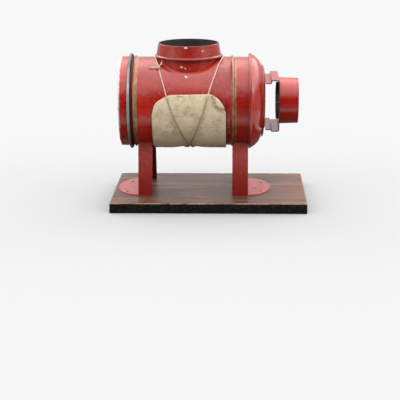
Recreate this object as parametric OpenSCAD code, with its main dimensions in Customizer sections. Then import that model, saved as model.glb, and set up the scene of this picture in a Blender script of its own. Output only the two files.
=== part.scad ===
// Toy magic lantern: a tin-plate lamp house on two folded stands and a wooden
// baseboard, with a slide stage, a focusing lens tube and an oil lamp inside.
// Millimetres. Origin: middle of the baseboard's underside. +X towards the lens,
// +Z up. All the round parts of the lamp house turn about one axis along X.

/* [Baseboard] */
// Length of the wooden baseboard along the optical axis
board_l = 200; // [180:1:230]
// Width of the baseboard
board_w = 125; // [110:1:160]
// Thickness of the baseboard
board_t = 10.5; // [8:0.5:16]
// Chamfer worn on the upper edges
board_c = 0.8; // [0.3:0.1:2]

/* [Lamp house] */
// Height of the optical axis above the underside of the board
ax_z = 103.3; // [100:0.1:115]
// Sideways place of the optical axis on the board
ax_y = 2.9; // [0:0.1:6]
// Outer radius of the lamp house
body_r = 45.8; // [45.2:0.1:46.2]
// Thickness of the lamp house tin
tin = 0.7; // [0.6:0.05:0.8]
// Rear end of the lamp house
body_x0 = -77.3; // [-78:0.1:-76]
// Front end of the lamp house
body_x1 = 25.9; // [25.5:0.1:26.2]
// Outer radius of the swaged beads near both ends
bead_r = 47.3; // [46.8:0.1:48]
// Sliding clearance of the push-fit caps, on the radius
fit = 0.05; // [0.03:0.01:0.09]

/* [Chimney socket] */
// Place of the chimney along the optical axis
chim_x = -21.1; // [-26:0.1:-16]
// Outer radius of the straight sleeve
chim_r = 30.5; // [28:0.1:31]
// Top of the socket above the underside of the board
chim_top = 163.9; // [160:0.1:170]
// Height of the rolled rim of the outer collar
collar_z = 150.7; // [150.6:0.1:153]
// Outer radius of the collar at the top
collar_r1 = 31.1; // [31:0.1:32]
// Outer radius of the collar above the rolled rim
collar_r0 = 33.2; // [33:0.1:34]

/* [Stands] */
// Thickness of the stand plate
stand_t = 0.9; // [0.7:0.1:1.2]
// Width of the rear legs
leg_w0 = 14.4; // [12:0.1:16]
// Width of the front legs
leg_w1 = 16.2; // [12:0.1:17]
// Half spread of the legs on the board
leg_y = 34.4; // [32:0.1:37]
// How far each rounded foot reaches out
foot_l = 23.5; // [18:0.5:26]

/* [Slide stage and lens] */
// Width of the slide stage across the optical axis
stage_w = 60; // [54:1:64]
// Thickness of the stage plate
stage_t = 0.9; // [0.7:0.1:1.1]
// Outer radius of the lens jacket where it leaves the stage
jacket_r = 24; // [23.8:0.1:24.5]
// Bore radius of the lens jacket
jacket_bore = 22.95; // [22.8:0.05:23]
// Radius of the hole in the dome that the slide is lit through
gate_r = 21.5; // [18:0.5:22]

/* [Oil lamp] */
// Radius of the oil font
font_r = 17; // [14:0.5:18]
// Height of the lamp tray's top
tray_z = 66; // [65:0.5:68]
// Width of the flat wick
wick_w = 11.4; // [8:0.2:11.6]
// Thickness of the flat wick
wick_t = 1.6; // [1.2:0.1:1.7]

/* [Card and string] */
// Left edge of the tied-on card
card_x0 = -56.5; // [-57:0.1:-50]
// Right edge of the tied-on card
card_x1 = 17.8; // [10:0.1:18.5]
// Thickness of the card
card_t = 1; // [0.5:0.1:1.1]
// Diameter of the string
string_d = 1.3; // [0.8:0.1:1.4]

/* [Hidden] */

RED = [0.72, 0.16, 0.12];
DARKRED = [0.52, 0.12, 0.11];
TIN = [0.55, 0.56, 0.56];
BRASS = [0.72, 0.58, 0.3];
GLASS = [0.75, 0.85, 0.8, 0.45];

bore_r = body_r - tin;          // inside of the lamp house
skirt_r = bore_r - fit;         // outside of both push-fit skirts
wire_r = 0.6;                   // wire inside the rolled collar rim
seat_z = 150.2;                 // ledge inside the sleeve that a chimney stands on
// slide stage: heights of its plates from the optical axis
st_in_top = 23.5;
st_in_bot = 24.8;
st_out = 26.4;
st_x0 = 57.8;                   // face of the dome disc
st_x1 = 63.4;                   // joggle of the plates
st_x2 = 72;                     // front face of the lens plate
jacket_x1 = 90.8;
lens_z = 0.5;                   // lens group sits this much above the axis
lamp_x = chim_x;

function unit(v) = v / norm(v);
function nrm(a, b) = let (d = unit(b - a)) [-d[1], d[0]];
function miter(p, i) =
    let (n = len(p),
         n1 = i > 0 ? nrm(p[i - 1], p[i]) : nrm(p[0], p[1]),
         n2 = i < n - 1 ? nrm(p[i], p[i + 1]) : nrm(p[n - 2], p[n - 1]),
         m = unit(n1 + n2))
    m / (m * n1);
function side(p, d) = [for (i = [0:len(p) - 1]) p[i] + d * miter(p, i)];
function rev(v) = [for (i = [len(v) - 1:-1:0]) v[i]];
// outline of a sheet of thickness t: p is one face, the metal lies to its right
function skin(p, t) = concat(p, rev(side(p, -t)));
function arc(cx, cy, r, a0, a1, n) =
    [for (i = [0:n]) let (a = a0 + (a1 - a0) * i / n) [cx + r * cos(a), cy + r * sin(a)]];
// swaged bead from radius r0 out to r1, w wide
function bead(xc, w, r0, r1, n = 10) =
    [for (i = [0:n]) [xc - w / 2 + w * i / n, r0 + (r1 - r0) * (0.5 - 0.5 * cos(360 * i / n))]];

// turns a list of [x, radius] points about the optical axis
module turn_x(p, dz = 0) {
    translate([0, ax_y, ax_z + dz]) rotate([0, 90, 0])
        rotate_extrude($fn = 96) polygon([for (q = p) [q[1], q[0]]]);
}
// turns a list of [radius, z] points about a vertical axis at x
module turn_z(p, x) {
    translate([x, ax_y, 0]) rotate_extrude($fn = 72) polygon(p);
}

// ---- baseboard and stands ----
nails = [[54.9, 19], [53.9, -15.4], [-83, 20], [-85.5, -21]];

module baseboard() {
    color([0.45, 0.32, 0.27]) difference() {
        translate([-board_l / 2, -board_w / 2, 0]) cube([board_l, board_w, board_t]);
        for (s = [-1, 1]) {
            translate([0, s * board_w / 2, board_t]) rotate([45, 0, 0])
                cube([board_l + 4, board_c * 1.414, board_c * 1.414], center = true);
            translate([s * board_l / 2, 0, board_t]) rotate([0, 45, 0])
                cube([board_c * 1.414, board_w + 4, board_c * 1.414], center = true);
        }
        for (n = nails) translate([n[0], n[1], board_t - 7.5]) cylinder(r = 0.62, h = 10, $fn = 24);
    }
}

// one folded stand: floor plate, two splayed legs, and tabs that hug the shell;
// between the legs the plate is narrower than they are
module stand(x0, x1, out) {
    r = body_r + 0.06;
    tab = [for (a = [17, 20, 23, 26, 29, 32]) [ax_y - r * sin(a), ax_z - r * cos(a)]];
    near = concat(tab, [[ax_y - leg_y, board_t]]);
    far = rev([for (q = near) [2 * ax_y - q[0], q[1]]]);
    line = concat(near, far);
    difference() {
        union() {
            translate([x0, 0, 0]) rotate([90, 0, 90]) linear_extrude(x1 - x0)
                polygon(concat(line, rev(side(line, stand_t))));
            translate([out > 0 ? x1 : x0, ax_y, board_t]) linear_extrude(stand_t)
                polygon(concat(
                    [[-out * 2, leg_y - 2.5]],
                    [for (a = [90:-5:-90]) [out * foot_l * cos(a), leg_y * sin(a) * 0.998]],
                    [[-out * 2, -leg_y + 2.5]]));
        }
        for (n = nails) translate([n[0], n[1], board_t - 1]) cylinder(r = 0.65, h = 3, $fn = 24);
        translate([out > 0 ? x0 - 1 : x1 - 6.2, ax_y - leg_y + 2.2, board_t - 0.5])
            cube([7.2, 2 * leg_y - 4.4, stand_t + 1]);
    }
}

module rear_stand() { color(DARKRED) stand(-72.9, -72.9 + leg_w0, -1); }
module front_stand() {
    // its tabs are notched where they meet the shell's front bead
    color(DARKRED) difference() {
        stand(40.4 - leg_w1, 40.4, 1);
        translate([20, ax_y, ax_z]) rotate([0, 90, 0]) cylinder(r = bead_r + 0.1, h = body_x1 + 0.15 - 20, $fn = 96);
    }
}

module stand_nails() {
    color([0.2, 0.17, 0.16]) for (n = nails) translate([n[0], n[1], board_t + stand_t])
        rotate_extrude($fn = 32) polygon(concat(
            [[0, 0.75], [0.6, 0.68], [1.1, 0.45], [1.4, 0.05], [1.4, 0], [0.6, 0]],
            [[0.6, -6.5], [0, -8]]));
}

// ---- lamp house ----
module body_shell() {
    line = concat([[body_x0, body_r]], bead(body_x0 + 1.4, 2.6, body_r, bead_r),
        bead(body_x1 - 2.3, 3.2, body_r, bead_r), [[body_x1, body_r]]);
    color(RED) difference() {
        turn_x(skin(line, tin));
        translate([chim_x, ax_y, ax_z]) cylinder(r = chim_r - 0.6, h = 60, $fn = 96);
    }
}

module chimney_sleeve() {
    color(DARKRED) difference() {
        translate([chim_x, ax_y, ax_z + 20]) cylinder(r = chim_r, h = chim_top - 0.75 - ax_z - 20, $fn = 96);
        // open below the seat, and wider above it
        translate([chim_x, ax_y, ax_z]) cylinder(r = chim_r - 1.7, h = 80, $fn = 96);
        translate([chim_x, ax_y, ax_z]) cylinder(r = chim_r - 0.6, h = seat_z - 0.8 - ax_z, $fn = 96);
        translate([chim_x, ax_y, seat_z]) cylinder(r = chim_r - 0.6, h = 40, $fn = 96);
        translate([-100, ax_y, ax_z]) rotate([0, 90, 0]) cylinder(r = body_r, h = 160, $fn = 96);
    }
}

module chimney_collar() {
    rc = collar_r0 + 0.25;
    line = concat([[chim_r - 0.6, chim_top], [collar_r1 - 0.3, chim_top], [collar_r1, chim_top - 0.3],
        [collar_r0, collar_z + 1.6]], arc(rc, collar_z, 1.25, 62, -230, 14));
    color(RED) turn_z(skin(line, 0.55), chim_x);
}

module collar_rim_wire() {
    color(TIN) turn_z(arc(collar_r0 + 0.25, collar_z, wire_r, 0, 345, 15), chim_x);
}

// ---- rear cap ----
module rear_cap() {
    line = concat([[-81.95, body_r + 0.4]], arc(-90.1, body_r - 0.8, 1.2, 90, 180, 5),
        [[-91.3, 41.5]]);
    color(RED) turn_x(concat(line, rev(side(line, 0.7))));
}

module rear_cap_disc() {
    line = [[-90.55, 44.6], [-90.55, 38.5], [-89.6, 37.2], [-89.6, 31], [-90.6, 29.6], [-90.6, 0]];
    color(RED) turn_x(concat(line, [[-89.9, 0], [-89.9, 29.9], [-88.9, 31.3], [-88.9, 36.9], [-89.85, 38.2], [-89.85, 44.6]]));
}

module rear_cap_sleeve() {
    line = concat([[-89.7, body_r - 0.42], [-81.9, body_r - 0.42], [-81.8, 48.1]],
        arc(-80.5, 48.1, 1.2, 168, 12, 7),
        [[-79.2, 48.1], [-79.1, skirt_r], [-65.3, skirt_r]]);
    color(TIN) turn_x(skin(line, 0.5));
}

module reflector() {
    line = [for (a = [0:3:27]) [-88.2 + 0.5 + 62 * (1 - cos(a)), 62 * sin(a)]];
    color(TIN) difference() {
        turn_x(concat(line, rev([for (q = line) [q[0] - 0.5 / cos(0), q[1]]])));
        translate([-95, ax_y, ax_z]) rotate([0, 90, 0]) cylinder(r = 1.55, h = 20, $fn = 32);
    }
}

module reflector_rivet() {
    color(TIN) turn_x([[-87, 0], [-87, 1.6], [-87.6, 2.8], [-87.6, 1.5], [-89.9, 1.5], [-89.9, 0]]);
}

// ---- front cap: barrel, dome, disc and condenser ----
module front_barrel() {
    line = [[12.5, skirt_r], [26, skirt_r], [26.5, 45.5], [41.3, 45.5], [41.3, 48.5], [41.8, 48.5],
        [41.8, 44.8], [26.8, 44.8], [26.2, skirt_r - 0.6], [12.5, skirt_r - 0.6]];
    color(RED) turn_x(line);
}

// outside of the dome, from the folded seam to its front neck
dome = [[42.9, 49.2], [43.4, 48.3], [44.6, 47.6], [46.2, 46.7], [48, 45.3], [49.8, 43.5], [51.4, 41.6],
        [52.8, 39.5], [53.8, 37.7], [54.3, 36.4], [54.5, 36.2], [54.95, 36.2]];

module front_dome() {
    inner = [[54.95, 35.5], [54, 35.5], [53.2, 37.3], [52.2, 39.2], [50.9, 41.2], [49.3, 43], [47.6, 44.7],
        [45.9, 46], [44.3, 46.9], [42.4, 47.3], [42.4, 45.6], [41.85, 45.6], [41.85, 48.6], [41.2, 48.6],
        [41.2, 45.7], [40.75, 45.7], [40.75, 48.9], [41.1, 49.2]];
    color(RED) turn_x(concat(dome, inner));
}

module dome_disc() {
    face = [[54.4, 36.9], [55.3, 36.8], [55.9, 36.1], [56.6, 34.2], [57.2, 31.4], [57.6, 28.5], [57.8, 25.6],
        [57.8, gate_r]];
    back = [[57.15, gate_r], [57.15, 25.4], [56.95, 28.2], [56.55, 31.1], [55.95, 33.8], [55.35, 35.7], [55.1, 36.25],
        [54.4, 36.25]];
    color(RED) turn_x(concat(face, back));
}

module condenser_cell() {
    color(TIN) turn_x([[57.15, 22.7], [57.15, 25.2], [56.6, 25.2], [56.6, 23.3], [50, 23.3], [50, 22.7]]);
}

module condenser_lens() {
    // plano-convex, flat side to the slide
    color(GLASS) turn_x(concat([[57.1, 0], [57.1, 22.6], [54.9, 22.6]],
        [for (a = [33:-3:0]) [54.9 + 41.5 * cos(33) - 41.5 * cos(a), 41.5 * sin(a)]]));
}

module condenser_ring() {
    color(TIN) difference() {
        turn_x(arc(53.7, 22.05, 0.6, 0, 337.5, 15));
        translate([50, ax_y - 1.2, ax_z - 30]) cube([8, 2.4, 15]);
    }
}

// ---- slide stage ----
module slide_stage() {
    x3 = st_x2;
    top = concat([[st_x0, st_in_top], [st_x1 - 0.7, st_in_top], [st_x1 + 0.7, st_out]],
        arc(x3 - 2, st_out - 2, 2, 90, 0, 5));
    bot = concat(arc(x3 - 2, -st_out + 2, 2, 0, -90, 5),
        [[st_x1 + 0.7, -st_out], [st_x1 - 0.7, -st_in_bot], [st_x0, -st_in_bot]]);
    color(RED) difference() {
        translate([0, ax_y + stage_w / 2, ax_z]) rotate([90, 0, 0]) linear_extrude(stage_w)
            polygon(skin(concat(top, bot), stage_t));
        translate([60, ax_y, ax_z + lens_z]) rotate([0, 90, 0]) cylinder(r = 19.3, h = 20, $fn = 96);
    }
}

module lens_jacket() {
    color(RED) difference() {
        turn_x([[st_x2, 0], [st_x2, jacket_r], [jacket_x1, jacket_r - 0.6], [jacket_x1, 0]], lens_z);
        translate([60, ax_y, ax_z + lens_z]) rotate([0, 90, 0]) cylinder(r = jacket_bore, h = 40, $fn = 96);
    }
}

module rear_lens_cell() {
    color([0.12, 0.11, 0.1]) turn_x([[69.1, 17], [69.1, 18.8], [69.6, 19.25], [72, 19.25], [72, 20.6], [72.7, 20.6],
        [72.7, 18.5], [69.7, 18.5], [69.7, 17]], lens_z);
}

module rear_lens() {
    color(GLASS) turn_x(concat([[69.75, 0], [69.75, 18.45], [71, 18.45]],
        [for (a = [24:-3:0]) [71 - 45.36 * cos(24) + 45.36 * cos(a), 45.36 * sin(a)]]), lens_z);
}

module rear_lens_ring() {
    color(TIN) {
        difference() {
            turn_x(arc(71.7, 18, 0.45, 0, 337.5, 15), lens_z);
            translate([70, ax_y - 1, ax_z]) cube([4, 2, 30]);
        }
    }
}

module draw_tube() {
    r = jacket_bore - 0.05;
    color(DARKRED) turn_x([[74.5, r - 0.6], [74.5, r], [jacket_x1 + 0.05, r], [jacket_x1 + 0.05, 23.3],
        [jacket_x1 + 0.3, 23.5], [jacket_x1 + 0.8, 23.4], [jacket_x1 + 1, 23], [jacket_x1 + 1, 20.6],
        [jacket_x1 + 0.5, 20.6], [jacket_x1 + 0.5, r - 0.6]], lens_z);
}

module front_lens() {
    color(GLASS) turn_x(concat([[84.6, 0]], [for (a = [3:3:24]) [84.6 + 54.4 * (1 - cos(a)), 54.4 * sin(a)]],
        [[91.25, 22.2], [91.25, 0]]), lens_z);
}

module front_lens_ring() {
    color(TIN) difference() {
        turn_x(arc(88.4, 21.7, 0.5, 0, 337.5, 15), lens_z);
        translate([86, ax_y - 1, ax_z - 30]) cube([6, 2, 15]);
    }
}

// ---- oil lamp ----
module lamp_tray() {
    color(TIN) difference() {
        translate([-54, ax_y - 20, 63.05]) cube([62, 40, tray_z - 63.05]);
        translate([-60, ax_y - 19.3, 60]) cube([80, 38.6, tray_z - 0.7 - 60]);
    }
}

module lamp_font() {
    line = [[0, tray_z], [font_r - 1, tray_z], [font_r, tray_z + 1], [font_r, tray_z + 13],
        [font_r - 1.2, tray_z + 15.5], [font_r - 4.5, tray_z + 17.5], [8.2, tray_z + 18.3], [8.2, tray_z + 21],
        [7.6, tray_z + 21], [7.6, tray_z + 17.6], [font_r - 4.8, tray_z + 16.8], [font_r - 1.8, tray_z + 15],
        [font_r - 0.7, tray_z + 12.8], [font_r - 0.7, tray_z + 1.2], [font_r - 1.2, tray_z + 0.7], [0, tray_z + 0.7]];
    color(BRASS) turn_z(line, lamp_x);
}

burner_z = tray_z + 21;
wheel_y = ax_y - wick_t / 2 - 2.45;
wheel_z = burner_z + 3.2;

module lamp_burner() {
    color(BRASS) difference() {
        turn_z([[0, burner_z - 3.5], [7.5, burner_z - 3.5], [7.5, burner_z + 0.05], [9.2, burner_z + 0.05],
            [9.2, burner_z + 1.2], [8.4, burner_z + 1.8], [8.4, burner_z + 5], [0, burner_z + 5]], lamp_x);
        // room for the wick tube, the feed wheel and the spindle
        translate([lamp_x - 6.5, ax_y - 1.6, burner_z - 5]) cube([13, 3.2, 12]);
        translate([lamp_x - 2.2, wheel_y - 2.9, wheel_z - 2.9]) cube([4.4, 5, 6]);
        translate([lamp_x - 20, wheel_y, wheel_z]) rotate([0, 90, 0]) cylinder(r = 0.85, h = 30, $fn = 32);
    }
}

module wick_tube() {
    color(BRASS) difference() {
        translate([lamp_x - 6.45, ax_y - 1.55, burner_z - 3]) cube([12.9, 3.1, 16]);
        translate([lamp_x - wick_w / 2 - 0.1, ax_y - wick_t / 2 - 0.1, burner_z - 5]) cube([wick_w + 0.2, wick_t + 0.2, 22]);
        translate([lamp_x - 1.9, ax_y - 3, wheel_z - 2.6]) cube([3.8, 3, 5.2]);
    }
}

module lamp_wick() {
    color([0.8, 0.76, 0.66]) translate([lamp_x - wick_w / 2, ax_y - wick_t / 2, tray_z + 5])
        cube([wick_w, wick_t, burner_z + 15 - tray_z - 5]);
}

module wick_wheel() {
    color(BRASS) translate([lamp_x - 1.5, wheel_y, wheel_z]) rotate([0, 90, 0]) difference() {
        linear_extrude(3) polygon([for (i = [0:23]) let (r = i % 2 == 0 ? 2.4 : 1.9, a = i * 15 + 7.5) [r * cos(a), r * sin(a)]]);
        translate([0, 0, -1]) cylinder(r = 0.8, h = 5, $fn = 32);
    }
}

module wick_spindle() {
    color(BRASS) translate([lamp_x - 19, wheel_y, wheel_z]) rotate([0, 90, 0]) cylinder(r = 0.8, h = 26, $fn = 32);
}

module wick_knob() {
    color(BRASS) translate([lamp_x - 20.5, wheel_y, wheel_z]) rotate([0, 90, 0]) difference() {
        union() {
            linear_extrude(1.6) polygon([for (i = [0:47]) let (r = i % 2 == 0 ? 5.2 : 4.9) [r * cos(i * 7.5), r * sin(i * 7.5)]]);
            translate([0, 0, 1.6]) cylinder(r = 2, h = 1.6, $fn = 32);
        }
        translate([0, 0, 1.5]) cylinder(r = 0.8, h = 5, $fn = 32);
    }
}

module lamp_gallery() {
    color(BRASS) difference() {
        turn_z([[8.45, burner_z + 4.2], [14.2, burner_z + 4.2], [14.9, burner_z + 4.9], [14.9, burner_z + 9.5],
            [14.3, burner_z + 9.5], [14.3, burner_z + 5.1], [14, burner_z + 4.8], [8.45, burner_z + 4.8]], lamp_x);
        // air holes and the gaps between its fingers
        for (a = [0:30:330]) translate([lamp_x, ax_y, burner_z + 3]) rotate([0, 0, a]) translate([11.2, 0, 0])
            cylinder(r = 1.1, h = 3, $fn = 20);
        for (a = [0:45:135]) translate([lamp_x, ax_y, burner_z + 6]) rotate([0, 0, a]) translate([-20, -2, 0]) cube([40, 4, 5]);
    }
}

module lamp_glass() {
    z0 = burner_z + 4.85;
    line = [[12.6, z0], [13.8, z0], [13.8, z0 + 5], [14.6, z0 + 9], [15.2, z0 + 13], [14.9, z0 + 17], [13.6, z0 + 22],
        [11.8, z0 + 28], [10.4, z0 + 35], [9.6, z0 + 43], [9.4, 149], [8.4, 149], [8.6, z0 + 43], [9.4, z0 + 35],
        [10.8, z0 + 28], [12.6, z0 + 22], [13.9, z0 + 17], [14.2, z0 + 13], [13.6, z0 + 9], [12.8, z0 + 5]];
    color(GLASS) turn_z(line, lamp_x);
}

// ---- card tied over the near side ----
card_r = body_r + 0.8;          // inside of the card
card_a0 = 71.5;                 // upper edge, degrees from the top
card_a1 = 185;                  // lower edge, just past the bottom
corner = 20;                    // rounded upper corners

module side_card() {
    w = card_x1 - card_x0;
    zt = ax_z + (card_r + card_t) * cos(card_a0);
    color([0.72, 0.66, 0.52]) difference() {
        translate([card_x0, ax_y, ax_z]) rotate([0, 90, 0]) rotate([0, 0, 180 + card_a0])
            rotate_extrude(angle = card_a1 - card_a0, $fn = 96) translate([card_r, 0]) square([card_t, w]);
        // rounded upper corners, cut straight through towards -Y
        for (s = [0, 1]) translate([s == 0 ? card_x0 : card_x1, 0, zt]) rotate([90, 0, 0]) linear_extrude(80)
            polygon([for (q = concat([[-3, 3], [-3, -corner]],
                [for (i = [0:10]) let (a = 9 * i) [corner * (1 - cos(a)) - 0.4, 0.4 - corner * (1 - sin(a))]],
                [[corner, 3]])) [s == 0 ? q[0] : -q[0], q[1]]]);
    }
}

// ---- string: one closed loop that crosses itself under the lamp house ----
// [degrees round the lamp house from the top, place along the axis]
strand = [[0, -56.6], [35, -50.4], [70, -43], [90, -37.8], [105, -33.2], [130, -25.6], [152, -20.4], [180, -14.5],
    [220, -7], [270, 2], [320, 9.5], [360, 14.4], [395, 8.9], [430, 0.4], [455, -5.6], [470, -9.8], [485, -13.8],
    [505, -18.6], [512, -20.4], [540, -27], [580, -35], [630, -44], [680, -51.5], [720, -56.6]];
function over_card(a) = let (b = a % 360)
    b < 66 ? 0 : b < 71 ? (b - 66) / 5 : b < 186 ? 1 : b < 191 ? (191 - b) / 5 : 0;
function string_r(s) = body_r + 0.15 + string_d / 2 + 1.75 * over_card(s)
    + (abs(s - 512) < 12 ? (string_d + 0.15) * (0.5 + 0.5 * cos(15 * (s - 512))) : 0);
function string_p(s) = let (r = string_r(s)) [lookup(s, strand), ax_y - r * sin(s), ax_z + r * cos(s)];
function ring(c, t, n, r, k) = let (b = unit(cross(t, n)), m = cross(b, t))
    [for (i = [0:k - 1]) c + r * (cos(360 * i / k) * m + sin(360 * i / k) * b)];

module tie_string() {
    k = 8;
    st = 4;
    m = 720 / st;
    pts = [for (j = [0:m - 1]) let (s = j * st, c = string_p(s),
        t = unit(string_p((s + st) % 720) - string_p((s + 720 - st) % 720)), n = unit([0, -sin(s), cos(s)]))
        each ring(c, t, n, string_d / 2, k)];
    color([0.8, 0.68, 0.56]) polyhedron(pts, [for (j = [0:m - 1], i = [0:k - 1])
        [((j + 1) % m) * k + i, ((j + 1) % m) * k + (i + 1) % k, j * k + (i + 1) % k, j * k + i]]);
}

// open tube with flat ends through a few points
module tube(p, r, k = 8) {
    m = len(p);
    pts = [for (j = [0:m - 1]) let (t = unit(p[min(j + 1, m - 1)] - p[max(j - 1, 0)]), n = unit([0, p[j][1] - ax_y, p[j][2] - ax_z]))
        each ring(p[j], t, n, r, k)];
    polyhedron(pts, concat(
        [for (j = [0:m - 2], i = [0:k - 1]) [(j + 1) * k + i, (j + 1) * k + (i + 1) % k, j * k + (i + 1) % k, j * k + i]],
        [[for (i = [0:k - 1]) i]], [[for (i = [k - 1:-1:0]) (m - 1) * k + i]]));
}
function on_shell(a, x, up) = let (r = body_r + up) [x, ax_y - r * sin(a), ax_z + r * cos(a)];

module tie_knot() {
    color([0.8, 0.68, 0.56]) {
        translate(on_shell(34.5, -50.5, 1.9)) sphere(r = 1.6, $fn = 24);
        tube([on_shell(34.3, -51.2, 2.1), on_shell(33.5, -54, 1.2), on_shell(34.5, -57.2, 1), on_shell(33.6, -60, 1.1)], 0.6);
        tube([on_shell(33.4, -50, 2.4), on_shell(29, -48, 2.2), on_shell(24, -47.2, 2.4), on_shell(20, -47.8, 3)], 0.6);
    }
}

baseboard();
rear_stand();
front_stand();
stand_nails();
body_shell();
chimney_sleeve();
chimney_collar();
collar_rim_wire();
rear_cap();
rear_cap_disc();
rear_cap_sleeve();
reflector();
reflector_rivet();
front_barrel();
front_dome();
dome_disc();
condenser_cell();
condenser_lens();
condenser_ring();
slide_stage();
lens_jacket();
rear_lens_cell();
rear_lens();
rear_lens_ring();
draw_tube();
front_lens();
front_lens_ring();
lamp_tray();
lamp_font();
lamp_burner();
wick_tube();
lamp_wick();
wick_wheel();
wick_spindle();
wick_knob();
lamp_gallery();
lamp_glass();
side_card();
tie_string();
tie_knot();
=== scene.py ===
import math
import bpy
import numpy as np
from mathutils import Matrix, Vector, noise


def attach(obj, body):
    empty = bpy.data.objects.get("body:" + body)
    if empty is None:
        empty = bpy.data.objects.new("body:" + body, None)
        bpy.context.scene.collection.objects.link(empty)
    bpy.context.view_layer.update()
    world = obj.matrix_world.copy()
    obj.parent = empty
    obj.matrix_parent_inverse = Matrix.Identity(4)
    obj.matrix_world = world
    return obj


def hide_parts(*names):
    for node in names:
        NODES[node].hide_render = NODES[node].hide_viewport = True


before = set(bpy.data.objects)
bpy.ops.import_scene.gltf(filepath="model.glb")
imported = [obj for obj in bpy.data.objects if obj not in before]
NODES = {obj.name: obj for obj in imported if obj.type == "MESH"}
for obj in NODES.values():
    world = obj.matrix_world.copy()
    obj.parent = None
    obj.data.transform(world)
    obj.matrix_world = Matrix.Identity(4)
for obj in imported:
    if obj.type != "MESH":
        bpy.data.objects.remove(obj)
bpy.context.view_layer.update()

MM = 0.001
AY, AZ = 2.9, 103.3            # optical axis, mm
CHX = -21.1                    # chimney axis along X, mm
scene = bpy.context.scene

# ------------------------------------------------------------------ camera
def make_camera():
    th, psi, rho = 0.274, -0.0352, -0.0058
    fw = Vector((math.sin(psi) * math.cos(th), math.cos(psi) * math.cos(th), -math.sin(th)))
    right = Vector((math.cos(psi), -math.sin(psi), 0.0))
    up = right.cross(fw)
    r2 = math.cos(rho) * right + math.sin(rho) * up
    u2 = -math.sin(rho) * right + math.cos(rho) * up
    m = Matrix(((r2.x, u2.x, -fw.x, 0.02947), (r2.y, u2.y, -fw.y, -1.1275), (r2.z, u2.z, -fw.z, 0.3138), (0, 0, 0, 1)))
    data = bpy.data.cameras.new("camera")
    data.sensor_width = 36.0
    data.sensor_fit = "HORIZONTAL"
    data.lens = 99.0
    data.clip_start = 0.05
    data.clip_end = 50.0
    cam = bpy.data.objects.new("camera", data)
    cam.matrix_world = m
    scene.collection.objects.link(cam)
    scene.camera = cam

make_camera()
scene.view_settings.view_transform = "Standard"
scene.view_settings.look = "None"
scene.view_settings.exposure = 0.0

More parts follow.
